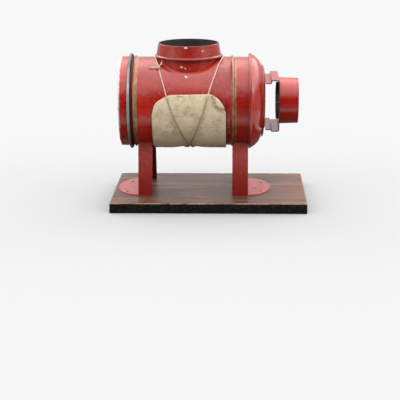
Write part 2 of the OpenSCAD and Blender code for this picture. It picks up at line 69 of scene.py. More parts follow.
# ------------------------------------------------------------------ shader graph helper
class Graph:
    def __init__(self, name, world=False):
        if world:
            self.id = bpy.data.worlds.new(name)
        else:
            self.id = bpy.data.materials.new(name)
        self.id.use_nodes = True
        self.t = self.id.node_tree
        self.t.nodes.clear()
        self._co = None

    def put(self, sock, v):
        if v is None:
            return
        if isinstance(v, bpy.types.NodeSocket):
            self.t.links.new(v, sock)
        elif isinstance(v, (tuple, list)):
            if sock.type == "RGBA" and len(v) == 3:
                v = (*v, 1.0)
            sock.default_value = v
        else:
            if sock.type == "RGBA":
                sock.default_value = (v, v, v, 1)
            elif sock.type == "VECTOR":
                sock.default_value = (v, v, v)
            else:
                sock.default_value = v

    def node(self, kind, ins=None, **attrs):
        n = self.t.nodes.new(kind)
        for k, v in attrs.items():
            setattr(n, k, v)
        for k, v in (ins or {}).items():
            self.put(n.inputs[k], v)
        return n

    def co(self):
        if self._co is None:
            self._co = self.node("ShaderNodeTexCoord").outputs["Object"]
        return self._co

    def math(self, op, a, b=None, c=None, clamp=False):
        n = self.node("ShaderNodeMath", operation=op, use_clamp=clamp)
        for s, v in zip(n.inputs, (a, b, c)):
            self.put(s, v)
        return n.outputs[0]

    def add(self, a, b): return self.math("ADD", a, b)
    def sub(self, a, b): return self.math("SUBTRACT", a, b)
    def mul(self, a, b): return self.math("MULTIPLY", a, b)
    def mx(self, a, b): return self.math("MAXIMUM", a, b)
    def mn(self, a, b): return self.math("MINIMUM", a, b)

    def xyz(self, v=None):
        n = self.node("ShaderNodeSeparateXYZ", {0: v if v is not None else self.co()})
        return n.outputs[0], n.outputs[1], n.outputs[2]

    def comb(self, x, y, z):
        return self.node("ShaderNodeCombineXYZ", {0: x, 1: y, 2: z}).outputs[0]

    def vmath(self, op, a, b=None, scale=None):
        n = self.node("ShaderNodeVectorMath", operation=op)
        self.put(n.inputs[0], a)
        if b is not None:
            self.put(n.inputs[1], b)
        if scale is not None:
            self.put(n.inputs["Scale"], scale)
        return n.outputs["Value"] if op in ("LENGTH", "DISTANCE", "DOT_PRODUCT") else n.outputs[0]

    def noise(self, size, vec=None, detail=3.0, rough=0.55, dist=0.0, w=None):
        # size: rough width of a feature in mm
        n = self.node("ShaderNodeTexNoise", {"Vector": vec if vec is not None else self.co(),
                                             "Scale": 1.0 / (size * MM), "Detail": detail, "Roughness": rough,
                                             "Distortion": dist})
        return n.outputs[0]

    def noise3(self, size, vec=None, detail=2.0):
        n = self.node("ShaderNodeTexNoise", {"Vector": vec if vec is not None else self.co(),
                                             "Scale": 1.0 / (size * MM), "Detail": detail})
        return self.vmath("SUBTRACT", n.outputs[1], (0.5, 0.5, 0.5))

    def smooth(self, x, a, b, lo=0.0, hi=1.0):
        n = self.node("ShaderNodeMapRange", {"Value": x, "From Min": a, "From Max": b, "To Min": lo, "To Max": hi},
                      interpolation_type="SMOOTHSTEP")
        return n.outputs[0]

    def lin(self, x, a, b, lo=0.0, hi=1.0):
        n = self.node("ShaderNodeMapRange", {"Value": x, "From Min": a, "From Max": b, "To Min": lo, "To Max": hi})
        return n.outputs[0]

    def band(self, x, a, b, soft):
        return self.mul(self.smooth(x, a - soft, a + soft), self.smooth(x, b + soft, b - soft))

    def mix(self, f, a, b, blend="MIX"):
        n = self.node("ShaderNodeMix", data_type="RGBA", blend_type=blend)
        self.put(n.inputs[0], f)
        self.put(n.inputs[6], a)
        self.put(n.inputs[7], b)
        return n.outputs[2]

    def mixf(self, f, a, b):
        n = self.node("ShaderNodeMix", data_type="FLOAT")
        self.put(n.inputs[0], f)
        self.put(n.inputs[2], a)
        self.put(n.inputs[3], b)
        return n.outputs[0]

    def ramp(self, f, stops, interp="LINEAR"):
        n = self.node("ShaderNodeValToRGB", {0: f})
        r = n.color_ramp
        r.interpolation = interp
        while len(r.elements) > 2:
            r.elements.remove(r.elements[-1])
        for i, (p, c) in enumerate(stops):
            if isinstance(c, (int, float)):
                c = (c, c, c)
            e = r.elements[i] if i < 2 else r.elements.new(p)
            e.position = p
            e.color = (*c, 1.0)
        return n.outputs[0]

    def chips(self, spots, wobble=0.9):
        # spots: (x, y, z, radius) in mm; ragged round marks
        v = self.vmath("ADD", self.co(), self.vmath("SCALE", self.noise3(1.1, detail=4.0), scale=2.2 * wobble * MM))
        out = None
        for x, y, z, r in spots:
            d = self.vmath("DISTANCE", v, (x * MM, y * MM, z * MM))
            m = self.smooth(d, (r + 0.12) * MM, (r - 0.12) * MM)
            out = m if out is None else self.mx(out, m)
        return out

    def bump(self, h, dist, strength=1.0, normal=None):
        n = self.node("ShaderNodeBump", {"Height": h, "Distance": dist * MM, "Strength": strength})
        if normal is not None:
            self.put(n.inputs["Normal"], normal)
        return n.outputs[0]

    def shader(self, color, rough, metal=0.0, normal=None, spec=0.5, coat=0.0, coat_rough=0.1, ior=1.5, sheen=0.0,
               transmission=0.0, subsurface=0.0):
        b = self.node("ShaderNodeBsdfPrincipled")
        self.put(b.inputs["Base Color"], color)
        self.put(b.inputs["Roughness"], rough)
        self.put(b.inputs["Metallic"], metal)
        b.inputs["Specular IOR Level"].default_value = spec
        b.inputs["Coat Weight"].default_value = coat
        b.inputs["Coat Roughness"].default_value = coat_rough
        b.inputs["IOR"].default_value = ior
        b.inputs["Sheen Weight"].default_value = sheen
        b.inputs["Transmission Weight"].default_value = transmission
        if normal is not None:
            self.put(b.inputs["Normal"], normal)
            if coat > 0:
                self.put(b.inputs["Coat Normal"], normal)
        o = self.node("ShaderNodeOutputMaterial")
        self.t.links.new(b.outputs[0], o.inputs[0])
        self.bsdf = b
        return self.id


def srgb(r, g, b):
    return tuple(((c / 255) / 12.92 if c <= 10 else (((c / 255) + 0.055) / 1.055) ** 2.4) for c in (r, g, b))


# ------------------------------------------------------------------ shapes shared by pieces and materials
def hermite(tab, s):
    """Smooth curve through a table of (s, value)."""
    n = len(tab)
    if s <= tab[0][0]:
        return tab[0][1]
    if s >= tab[-1][0]:
        return tab[-1][1]
    i = max(k for k in range(n - 1) if tab[k][0] <= s)

    def slope(k):
        a, b = tab[max(k - 1, 0)], tab[min(k + 1, n - 1)]
        return (b[1] - a[1]) / (b[0] - a[0])
    h = tab[i + 1][0] - tab[i][0]
    t = (s - tab[i][0]) / h
    return ((2 * t ** 3 - 3 * t * t + 1) * tab[i][1] + (t ** 3 - 2 * t * t + t) * h * slope(i)
            + (-2 * t ** 3 + 3 * t * t) * tab[i + 1][1] + (t ** 3 - t * t) * h * slope(i + 1))


STRAND = [(0, -56.6), (35, -50.4), (70, -43), (90, -37.8), (105, -33.2), (130, -25.6), (152, -20.4), (180, -14.5),
          (220, -7), (270, 2), (320, 9.5), (360, 14.4), (395, 8.9), (430, 0.4), (455, -5.6), (470, -9.8), (485, -13.8),
          (505, -18.6), (512, -20.4), (540, -27), (580, -35), (630, -44), (680, -51.5), (720, -56.6)]
# crease of the dog-eared corner: (x, degrees from the top)
CREASE = [(3.6, 73.6), (4.2, 75.8), (4.9, 78.6), (5.4, 81.2), (5.9, 83.4), (7.0, 86.4), (8.4, 88.4), (9.9, 89.9), (11.4, 90.7),
          (12.9, 91.0), (14.4, 91.0), (16.2, 91.4)]
BODY_R = 45.8
STAGE_W = 60


def smooth01(t):
    t = min(1.0, max(0.0, t))
    return t * t * (3 - 2 * t)


def fuzz(x, y, z, size, seed=0.0):
    return noise.noise(Vector((x / size + seed, y / size - seed * 0.7, z / size + 2.3 * seed)))


def card_out(x, a):
    """Outer radius of the card at place x and angle a (degrees from the top, towards the near side)."""
    loose = smooth01((a - 92) / 48.0)
    base = 47.25 + 1.2 * loose
    base += 0.5 * smooth01((abs(x + 19.4) - 30) / 8.0) * (1 - loose) * smooth01((a - 84) / 12.0)
    d = min(abs(x - hermite(STRAND, a)), abs(x - hermite(STRAND, a + 360)))
    base -= (base - 47.12) * math.exp(-(d / 8.5) ** 2)
    base += 0.16 * fuzz(x, a * 0.8, 0, 11.0, 3.1) + 0.05 * fuzz(x, a * 0.8, 0, 3.0, 7.7)
    # dog ear: a shallow groove, with the corner beyond it standing up a little
    best, side = 1e9, 0.0
    for (x0, a0), (x1, a1) in zip(CREASE, CREASE[1:]):
        ux, ua = x1 - x0, (a1 - a0) * 0.827
        px, pa = x - x0, (a - a0) * 0.827
        t = min(1.0, max(0.0, (px * ux + pa * ua) / (ux * ux + ua * ua)))
        dd = math.hypot(px - t * ux, pa - t * ua)
        if dd < best:
            best, side = dd, ux * pa - ua * px
    base -= 0.42 * math.exp(-(best / 0.8) ** 2)
    if side < 0 and x > 2.0 and a < 92.5:
        base += 0.75 * smooth01(best / 5.0)
    return base


def card_point(x, a, up):
    r = card_out(x, a) + up
    t = math.radians(a)
    return (x, AY - r * math.sin(t), AZ + r * math.cos(t))


# ------------------------------------------------------------------ materials
def axis_coords(g):
    x, y, z = g.xyz()
    yy = g.sub(y, AY * MM)
    zz = g.sub(z, AZ * MM)
    r = g.math("SQRT", g.add(g.mul(yy, yy), g.mul(zz, zz)))
    ang = g.math("ARCTAN2", g.mul(yy, -1.0), zz)      # 0 at the top, towards the near side
    return x, y, z, r, ang


RED_A = (0.280, 0.0078, 0.0034)
RED_B = (0.225, 0.0060, 0.0027)
TIN = (0.42, 0.42, 0.40)


def red_enamel(name, bands=(), chips=(), bare=(), grime=(), a=RED_A, b=RED_B, rough=0.11, wave=1.0, inner=None,
               inner_col=None, lower=None, speckle=(), scratch=1.0, foot=False, cut=None,
               zshade=(), joint=None, lower_col=None, spec=0.5):
    """Lacquer on tin. bands: bronze lines (x0, x1) in mm; chips: bare spots; bare: (x0, x1, amount) worn to tin;
    grime: (x0, x1, strength) dark rings; inner: ('x'|'c', radius) dark inside of that radius;
    lower: (z0, z1, strength) darker towards z0, a painted shade; speckle: (x0, x1) rings where the lacquer has flaked
    in dots."""
    g = Graph(name)
    x, y, z, r, ang = axis_coords(g)
    big = g.noise(38, detail=3)
    mid = g.noise(9, detail=4, rough=0.6)
    fine = g.noise(1.3, detail=3, rough=0.7)
    cloud = g.noise(17, detail=5, rough=0.62, dist=0.3)
    col = g.mix(g.smooth(big, 0.35, 0.7), a, b)
    # brush and wear mottling in the lacquer
    col = g.mix(g.mul(g.smooth(cloud, 0.50, 0.68), 0.30), col, (a[0] * 0.62, a[1] * 0.6, a[2] * 0.7))
    col = g.mix(g.mul(g.smooth(mid, 0.56, 0.78), 0.30), col, (a[0] * 1.22, a[1] * 2.4, a[2] * 2.8))
    grain = g.noise(3.1, detail=5, rough=0.78)
    col = g.mix(g.mul(g.smooth(grain, 0.51, 0.59), 0.40), col, (a[0] * 0.50, a[1] * 0.65, a[2] * 0.75))
    col = g.mix(g.mul(g.smooth(grain, 0.49, 0.41), 0.34), col, (a[0] * 1.22, a[1] * 2.2, a[2] * 2.6))
    pits = g.smooth(fine, 0.66, 0.74)
    col = g.mix(g.mul(pits, 0.55), col, (0.05, 0.006, 0.005))
    # fine hairline scratches, some pale and some dark
    v = g.vmath("ADD", g.co(), g.vmath("SCALE", g.noise3(24), scale=6.0 * MM))
    s1 = g.noise(1.1, g.vmath("MULTIPLY", v, (0.10, 1.0, 0.75)), detail=2, rough=0.5)
    s2 = g.noise(1.2, g.vmath("MULTIPLY", v, (1.0, 0.16, 0.16)), detail=2, rough=0.5)
    where = g.smooth(g.noise(21, detail=3), 0.48, 0.62)
    hair = g.mul(g.mx(g.band(s1, 0.650, 0.668, 0.004), g.band(s2, 0.645, 0.663, 0.004)), where)
    col = g.mix(g.mul(hair, 0.45 * scratch), col, (0.36, 0.09, 0.07))
    rgh = g.lin(mid, 0.3, 0.75, rough - 0.03, rough + 0.10)
    rgh = g.add(rgh, g.mul(pits, 0.25))
    rgh = g.add(rgh, g.mul(g.smooth(grain, 0.50, 0.64), 0.07))
    rgh = g.add(rgh, g.mul(hair, 0.2 * scratch))
    rgh = g.add(rgh, g.mul(g.smooth(cloud, 0.5, 0.7), 0.07))
    # film of old dirt and dull rubbed patches
    film = g.smooth(g.noise(5.5, detail=6, rough=0.72, dist=0.4), 0.50, 0.66)
    film = g.mul(film, g.smooth(g.noise(26, detail=3), 0.40, 0.60, 0.35, 1.0))
    col = g.mix(g.mul(film, 0.42 * scratch), col, (a[0] * 0.38, a[1] * 0.9, a[2] * 1.2))
    rgh = g.add(rgh, g.mul(film, 0.12 * scratch))
    scuff = g.noise(2.4, g.vmath("MULTIPLY", v, (0.55, 0.30, 0.55)), detail=4, rough=0.7)
    scuff = g.mul(g.smooth(scuff, 0.60, 0.67), g.smooth(g.noise(30, detail=2), 0.42, 0.56))
    col = g.mix(g.mul(scuff, 0.50 * scratch), col, (0.42, 0.115, 0.090))
    met = 0.0
    if lower:
        # painted shade: the lacquer darkens towards the bottom
        m = g.mul(g.smooth(z, lower[1] * MM, lower[0] * MM), lower[2])
        col = g.mix(m, col, lower_col or (a[0] * 0.42, a[1] * 0.45, a[2] * 0.5))
    if foot:
        # painted shade: the faces that look inwards are made nearly black
        inside = g.add(g.math("ABSOLUTE", g.sub(y, AY * MM)), g.mul(z, 0.187))
        m = g.mul(g.smooth(inside, 35.90 * MM, 35.55 * MM), g.smooth(z, 11.0 * MM, 11.6 * MM))
        col = g.mix(g.mul(m, g.lin(mid, 0.35, 0.65, 0.85, 1.0)), col, (0.050, 0.0026, 0.0022))
        # paler lacquer on the floor plate: painted light from above on its upward faces
        m = g.mul(g.smooth(z, 12.2 * MM, 11.3 * MM), g.lin(mid, 0.35, 0.65, 0.6, 1.0))
        m = g.mul(m, g.mx(g.smooth(x, -72.6 * MM, -73.1 * MM), g.smooth(x, 40.1 * MM, 40.6 * MM)))
        col = g.mix(m, col, (0.350, 0.086, 0.082))
        dirt = g.smooth(g.noise(5.0, detail=6, rough=0.78), 0.50, 0.60)
        col = g.mix(g.mul(g.mul(m, dirt), 0.60), col, (0.175, 0.050, 0.046))
    wob = g.mul(g.sub(g.noise(2.2, detail=2), 0.5), 0.9 * MM)
    for x0, x1 in bands:
        m = g.band(g.add(x, wob), x0 * MM, x1 * MM, 0.25 * MM)
        # the bronze is rubbed through to the red, mostly along its front edge
        edge = g.lin(x, x0 * MM, x1 * MM, 0.0, 0.075)
        worn = g.smooth(g.add(g.noise(1.9, detail=5, rough=0.72), edge), 0.60, 0.67)
        m = g.mul(m, g.sub(1.0, g.mul(worn, 0.85)))
        bronze = g.mix(g.smooth(g.noise(5, detail=4), 0.35, 0.65), (0.30, 0.175, 0.080), (0.17, 0.098, 0.043))
        # painted shade: the bronze is darker towards the underside
        bronze = g.mix(g.mul(g.smooth(z, (AZ - 8) * MM, (AZ - 46) * MM), 0.55), bronze, (0.075, 0.036, 0.016))
        col = g.mix(m, col, bronze)
        rgh = g.mixf(m, rgh, 0.44)
        met = g.mul(m, 0.35) if isinstance(met, float) else g.mx(met, g.mul(m, 0.35))
    for x0, x1 in speckle:
        dots = g.noise(1.05, detail=3, rough=0.75)
        zone = g.mul(g.band(g.add(x, wob), x0 * MM, x1 * MM, 0.35 * MM), g.smooth(g.noise(7, detail=3), 0.40, 0.56))
        zone = g.mul(zone, g.smooth(z, (AZ - 6) * MM, (AZ + 22) * MM, 0.25, 1.0))
        col = g.mix(g.mul(zone, g.mul(g.smooth(dots, 0.57, 0.63), 0.85)), col, (0.045, 0.010, 0.008))
        col = g.mix(g.mul(zone, g.mul(g.smooth(dots, 0.40, 0.35), 0.6)), col, (0.40, 0.16, 0.13))
        rgh = g.mixf(zone, rgh, 0.36)
    for x0, x1, k in grime:
        m = g.mul(g.band(x, x0 * MM, x1 * MM, 0.5 * MM), g.lin(g.noise(5, detail=3), 0.35, 0.65, 0.5 * k, k))
        col = g.mix(m, col, (0.030, 0.007, 0.005))
        rgh = g.mixf(m, rgh, 0.6)
    if joint:
        # where the sleeve is soldered on: its red runs out over the shell, then a dusty line
        jx, jy = g.sub(x, CHX * MM), g.sub(y, AY * MM)
        d = g.math("SQRT", g.add(g.mul(jx, jx), g.mul(jy, jy)))
        d = g.sub(g.add(d, g.mul(wob, 0.6)), g.smooth(x, -20 * MM, 2 * MM, 0.0, 3.2 * MM))
        up = g.smooth(z, (AZ + 12) * MM, (AZ + 18) * MM)
        m = g.mul(g.mul(g.smooth(d, 34.4 * MM, 32.6 * MM), g.smooth(d, 30.8 * MM, 31.4 * MM)), g.lin(mid, 0.3, 0.7, 0.65, 1.0))
        col = g.mix(g.mul(m, up), col, (0.385, 0.072, 0.060))
        rgh = g.mixf(g.mul(m, up), rgh, 0.5)
        m = g.mul(g.smooth(d, 31.5 * MM, 31.0 * MM), up)
        col = g.mix(m, col, (0.300, 0.0120, 0.0062))
        rgh = g.mixf(m, rgh, 0.40)
        # lighter, redder lacquer on the lower rear part: painted light from the front left
        m = g.mul(g.smooth(x, -46 * MM, -58 * MM), g.smooth(z, (AZ + 18) * MM, (AZ - 4) * MM))
        m = g.mul(m, g.smooth(x, -71.2 * MM, -70.6 * MM))
        col = g.mix(g.mul(m, 0.55), col, (0.43, 0.0115, 0.0050))
        # a nest of small dark pits beside the chimney, and a row of them along the first swage
        dots = g.noise(1.0, detail=3, rough=0.75)
        nest = g.chips([(13.5, -26.0, 139.5, 6.0), (18.0, -30.0, 134.5, 4.5), (8.0, -28.0, 137.0, 4.0), (21.0, -22.0, 142.5, 4.5)], 5.0)
        col = g.mix(g.mul(nest, g.mul(g.smooth(dots, 0.525, 0.585), 0.85)), col, (0.055, 0.004, 0.006))
        row = g.mul(g.band(g.add(x, g.mul(wob, 0.5)), 20.1 * MM, 20.9 * MM, 0.35 * MM), g.smooth(z, 126 * MM, 130 * MM))
        row = g.mul(row, g.smooth(y, 5 * MM, -5 * MM))
        col = g.mix(g.mul(row, g.smooth(g.noise(1.8, detail=3, rough=0.7), 0.42, 0.52, 0.25, 0.95)), col, (0.085, 0.006, 0.010))
        # painted shadow cast on the shell by the raised edge of the card
        card_shadow = g.mul(g.band(x, 18.0 * MM, 19.0 * MM, 0.4 * MM), g.mul(g.smooth(z, 114 * MM, 106 * MM), g.smooth(y, -10 * MM, -18 * MM)))
        col = g.mix(g.mul(card_shadow, g.lin(g.noise(5, detail=3), 0.35, 0.65, 0.45, 0.8)), col, (0.030, 0.007, 0.005))
    # painted shade: darker bands at given heights, under the collar rim on the sleeve and over the collar's bead
    for z0, z1, k in zshade:
        m = g.mul(g.band(z, z0 * MM, z1 * MM, 0.35 * MM), g.lin(g.noise(5, detail=3), 0.35, 0.65, 0.6 * k, k))
        col = g.mix(m, col, (a[0] * 0.42, a[1] * 0.7, a[2] * 0.8))
        rgh = g.mixf(m, rgh, 0.34)
    if cut:
        m = g.smooth(g.math("ABSOLUTE", g.sub(y, AY * MM)), (cut - 0.9) * MM, (cut - 0.15) * MM)
        col = g.mix(g.mul(m, g.lin(mid, 0.3, 0.7, 0.85, 1.0)), col, (0.016, 0.006, 0.0055))
        rgh = g.mixf(m, rgh, 0.6)
    if chips:
        m = g.chips(chips)
        rim = g.sub(g.chips([(q[0], q[1], q[2], q[3] + 0.32) for q in chips]), m)
        col = g.mix(g.mul(rim, 0.7), col, (0.06, 0.010, 0.008))
        col = g.mix(m, col, g.mix(g.noise(0.9, detail=3), (0.86, 0.80, 0.76), (0.50, 0.44, 0.40)))
        rgh = g.mixf(m, rgh, 0.45)
    for x0, x1, amount in bare:
        m = g.smooth(g.add(x, g.mul(wob, 1.2)), x1 * MM, x0 * MM)
        m = g.mul(m, g.smooth(g.add(r, g.mul(wob, 0.5)), 44.2 * MM, 44.8 * MM))
        worn = g.smooth(g.noise(5.5, detail=5, rough=0.7), 0.62 - 0.3 * amount, 0.78 - 0.3 * amount)
        # the lower third of the rim has kept its lacquer
        m = g.mul(g.mul(m, worn), g.smooth(z, (AZ - 26) * MM, (AZ - 14) * MM, 0.25, 1.0))
        col = g.mix(m, col, g.mix(g.smooth(g.noise(2.2, detail=4), 0.4, 0.65), (0.50, 0.46, 0.43), (0.34, 0.245, 0.220)))
        rgh = g.mixf(m, rgh, 0.50)
        met = g.mx(met, g.mul(m, 0.35)) if not isinstance(met, float) else g.mul(m, 0.35)
    if inner:
        kind, rad = inner
        if kind == "x":
            m = g.smooth(r, (rad + 0.1) * MM, (rad - 0.1) * MM)
        else:
            xx = g.sub(x, CHX * MM)
            yy = g.sub(y, AY * MM)
            rc = g.math("SQRT", g.add(g.mul(xx, xx), g.mul(yy, yy)))
            m = g.smooth(rc, (rad + 0.1) * MM, (rad - 0.1) * MM)
        c1, c2 = inner_col or ((0.008, 0.0085, 0.009), (0.02, 0.018, 0.017))
        sootc = g.mix(g.smooth(g.noise(7, detail=4), 0.35, 0.65), c1, c2)
        # soot flakes off in small paler patches
        sootc = g.mix(g.mul(g.smooth(g.noise(2.2, detail=5, rough=0.7), 0.62, 0.70), 0.6), sootc, (0.085, 0.075, 0.070))
        col = g.mix(m, col, sootc)
        rgh = g.mixf(m, rgh, 0.62)
        if not isinstance(met, float):
            met = g.mul(met, g.sub(1.0, m))
    n = g.bump(g.noise(14, detail=2), 0.62 * wave, 0.40)
    n = g.bump(g.noise(7, detail=3), 0.10 * wave, 0.5, n)
    n = g.bump(g.noise(3, detail=3), 0.07, 0.5, n)
    n = g.bump(grain, 0.055, 0.5, n)
    n = g.bump(fine, 0.015, 0.5, n)
    return g.shader(col, rgh, met, n, spec=spec)


def tin_plate(name, base=TIN, rough=0.38, dark=0.5):
    g = Graph(name)
    spangle = g.noise(5, detail=4, rough=0.6)
    stain = g.noise(11, detail=4, rough=0.65, dist=0.4)
    col = g.mix(g.smooth(stain, 0.42, 0.68), base, tuple(c * dark for c in base))
    rust = g.smooth(g.noise(3.0, detail=5, rough=0.7), 0.66, 0.76)
    col = g.mix(g.mul(rust, 0.55), col, (0.10, 0.055, 0.03))
    rgh = g.lin(spangle, 0.3, 0.7, rough - 0.08, rough + 0.17)
    n = g.bump(g.noise(2.5, detail=4), 0.05, 0.6)
    return g.shader(col, rgh, 0.85, n)


def rim_tin(name):
    """Rear cap's inner sleeve: a dull bare bead outside, dark where it enters the lamp house, partly soot and partly
    painted shade; painted shade darkens its top and bottom.
    """
    g = Graph(name)
    x, y, z, r, ang = axis_coords(g)
    stain = g.noise(13, detail=3, rough=0.6)
    col = g.mix(g.smooth(stain, 0.34, 0.70), (0.30, 0.283, 0.274), (0.205, 0.188, 0.180))
    # painted shade: darker towards the bottom and along the top
    low_shade = g.smooth(z, (AZ - 2) * MM, (AZ - 38) * MM)
    col = g.mix(g.mul(low_shade, 0.80), col, (0.060, 0.038, 0.034))
    col = g.mix(g.smooth(z, (AZ + 29) * MM, (AZ + 43) * MM, 0.0, 0.88), col, (0.085, 0.050, 0.044))
    red = g.mul(g.smooth(g.noise(5, detail=4), 0.56, 0.70), 0.40)
    col = g.mix(red, col, (0.15, 0.055, 0.045))
    # dark where it enters the lamp house: soot, and painted shade in the gap
    dark = g.mx(g.smooth(r, 47.6 * MM, 46.9 * MM), g.smooth(x, -78.9 * MM, -78.5 * MM))
    col = g.mix(dark, col, g.mix(stain, (0.012, 0.0025, 0.0020), (0.026, 0.0050, 0.0035)))
    rgh = g.mixf(dark, g.lin(stain, 0.3, 0.7, 0.46, 0.58), 0.7)
    met = g.mul(g.sub(1.0, dark), 0.40)
    n = g.bump(g.noise(2.5, detail=3), 0.03, 0.5)
    return g.shader(col, rgh, met, n)


def brass(name):
    g = Graph(name)
    t = g.noise(6, detail=5, rough=0.65)
    col = g.mix(g.smooth(t, 0.4, 0.66), (0.52, 0.33, 0.11), (0.17, 0.10, 0.05))
    rgh = g.lin(g.noise(2, detail=4), 0.3, 0.7, 0.25, 0.5)
    n = g.bump(g.noise(1.2, detail=3), 0.02, 0.5)
    return g.shader(col, rgh, 1.0, n)


def glass(name, tint=(0.90, 0.97, 0.93), rough=0.02, ior=1.5):
    g = Graph(name)
    smudge = g.smooth(g.noise(9, detail=5, rough=0.7), 0.52, 0.75)
    col = g.mix(g.mul(smudge, 0.5), tint, tuple(c * 0.86 for c in tint))
    rgh = g.mixf(smudge, rough, rough + 0.12)
    return g.shader(col, rgh, 0.0, None, transmission=1.0, ior=ior)


def iron(name, base=(0.10, 0.085, 0.075), rough=0.5):
    g = Graph(name)
    t = g.noise(1.4, detail=4, rough=0.7)
    col = g.mix(g.smooth(t, 0.45, 0.7), base, (0.09, 0.04, 0.02))
    n = g.bump(t, 0.03, 0.6)
    return g.shader(col, g.lin(t, 0.3, 0.7, rough - 0.1, rough + 0.2), 0.6, n)


def cell_black(name):
    g = Graph(name)
    t = g.noise(3, detail=4)
    col = g.mix(t, (0.012, 0.012, 0.011), (0.035, 0.033, 0.03))
    worn = g.smooth(g.noise(2.6, detail=4, rough=0.7), 0.52, 0.62)
    col = g.mix(g.mul(worn, 0.75), col, (0.135, 0.145, 0.130))
    return g.shader(col, g.lin(t, 0.3, 0.7, 0.30, 0.55), 0.0, g.bump(t, 0.03, 0.5))


def cotton(name):
    g = Graph(name)
    x, y, z = g.xyz()
    w = g.math("SINE", g.mul(x, 2 * math.pi / (0.7 * MM)))
    v = g.math("SINE", g.mul(z, 2 * math.pi / (0.9 * MM)))
    h = g.add(g.mul(w, 0.5), g.mul(v, 0.5))
    burnt = g.smooth(z, 99 * MM, 101.5 * MM)
    col = g.mix(burnt, g.mix(g.noise(3, detail=3), (0.62, 0.56, 0.44), (0.45, 0.39, 0.28)), (0.02, 0.018, 0.015))
    return g.shader(col, 0.9, 0.0, g.bump(h, 0.12, 0.8), sheen=0.2)


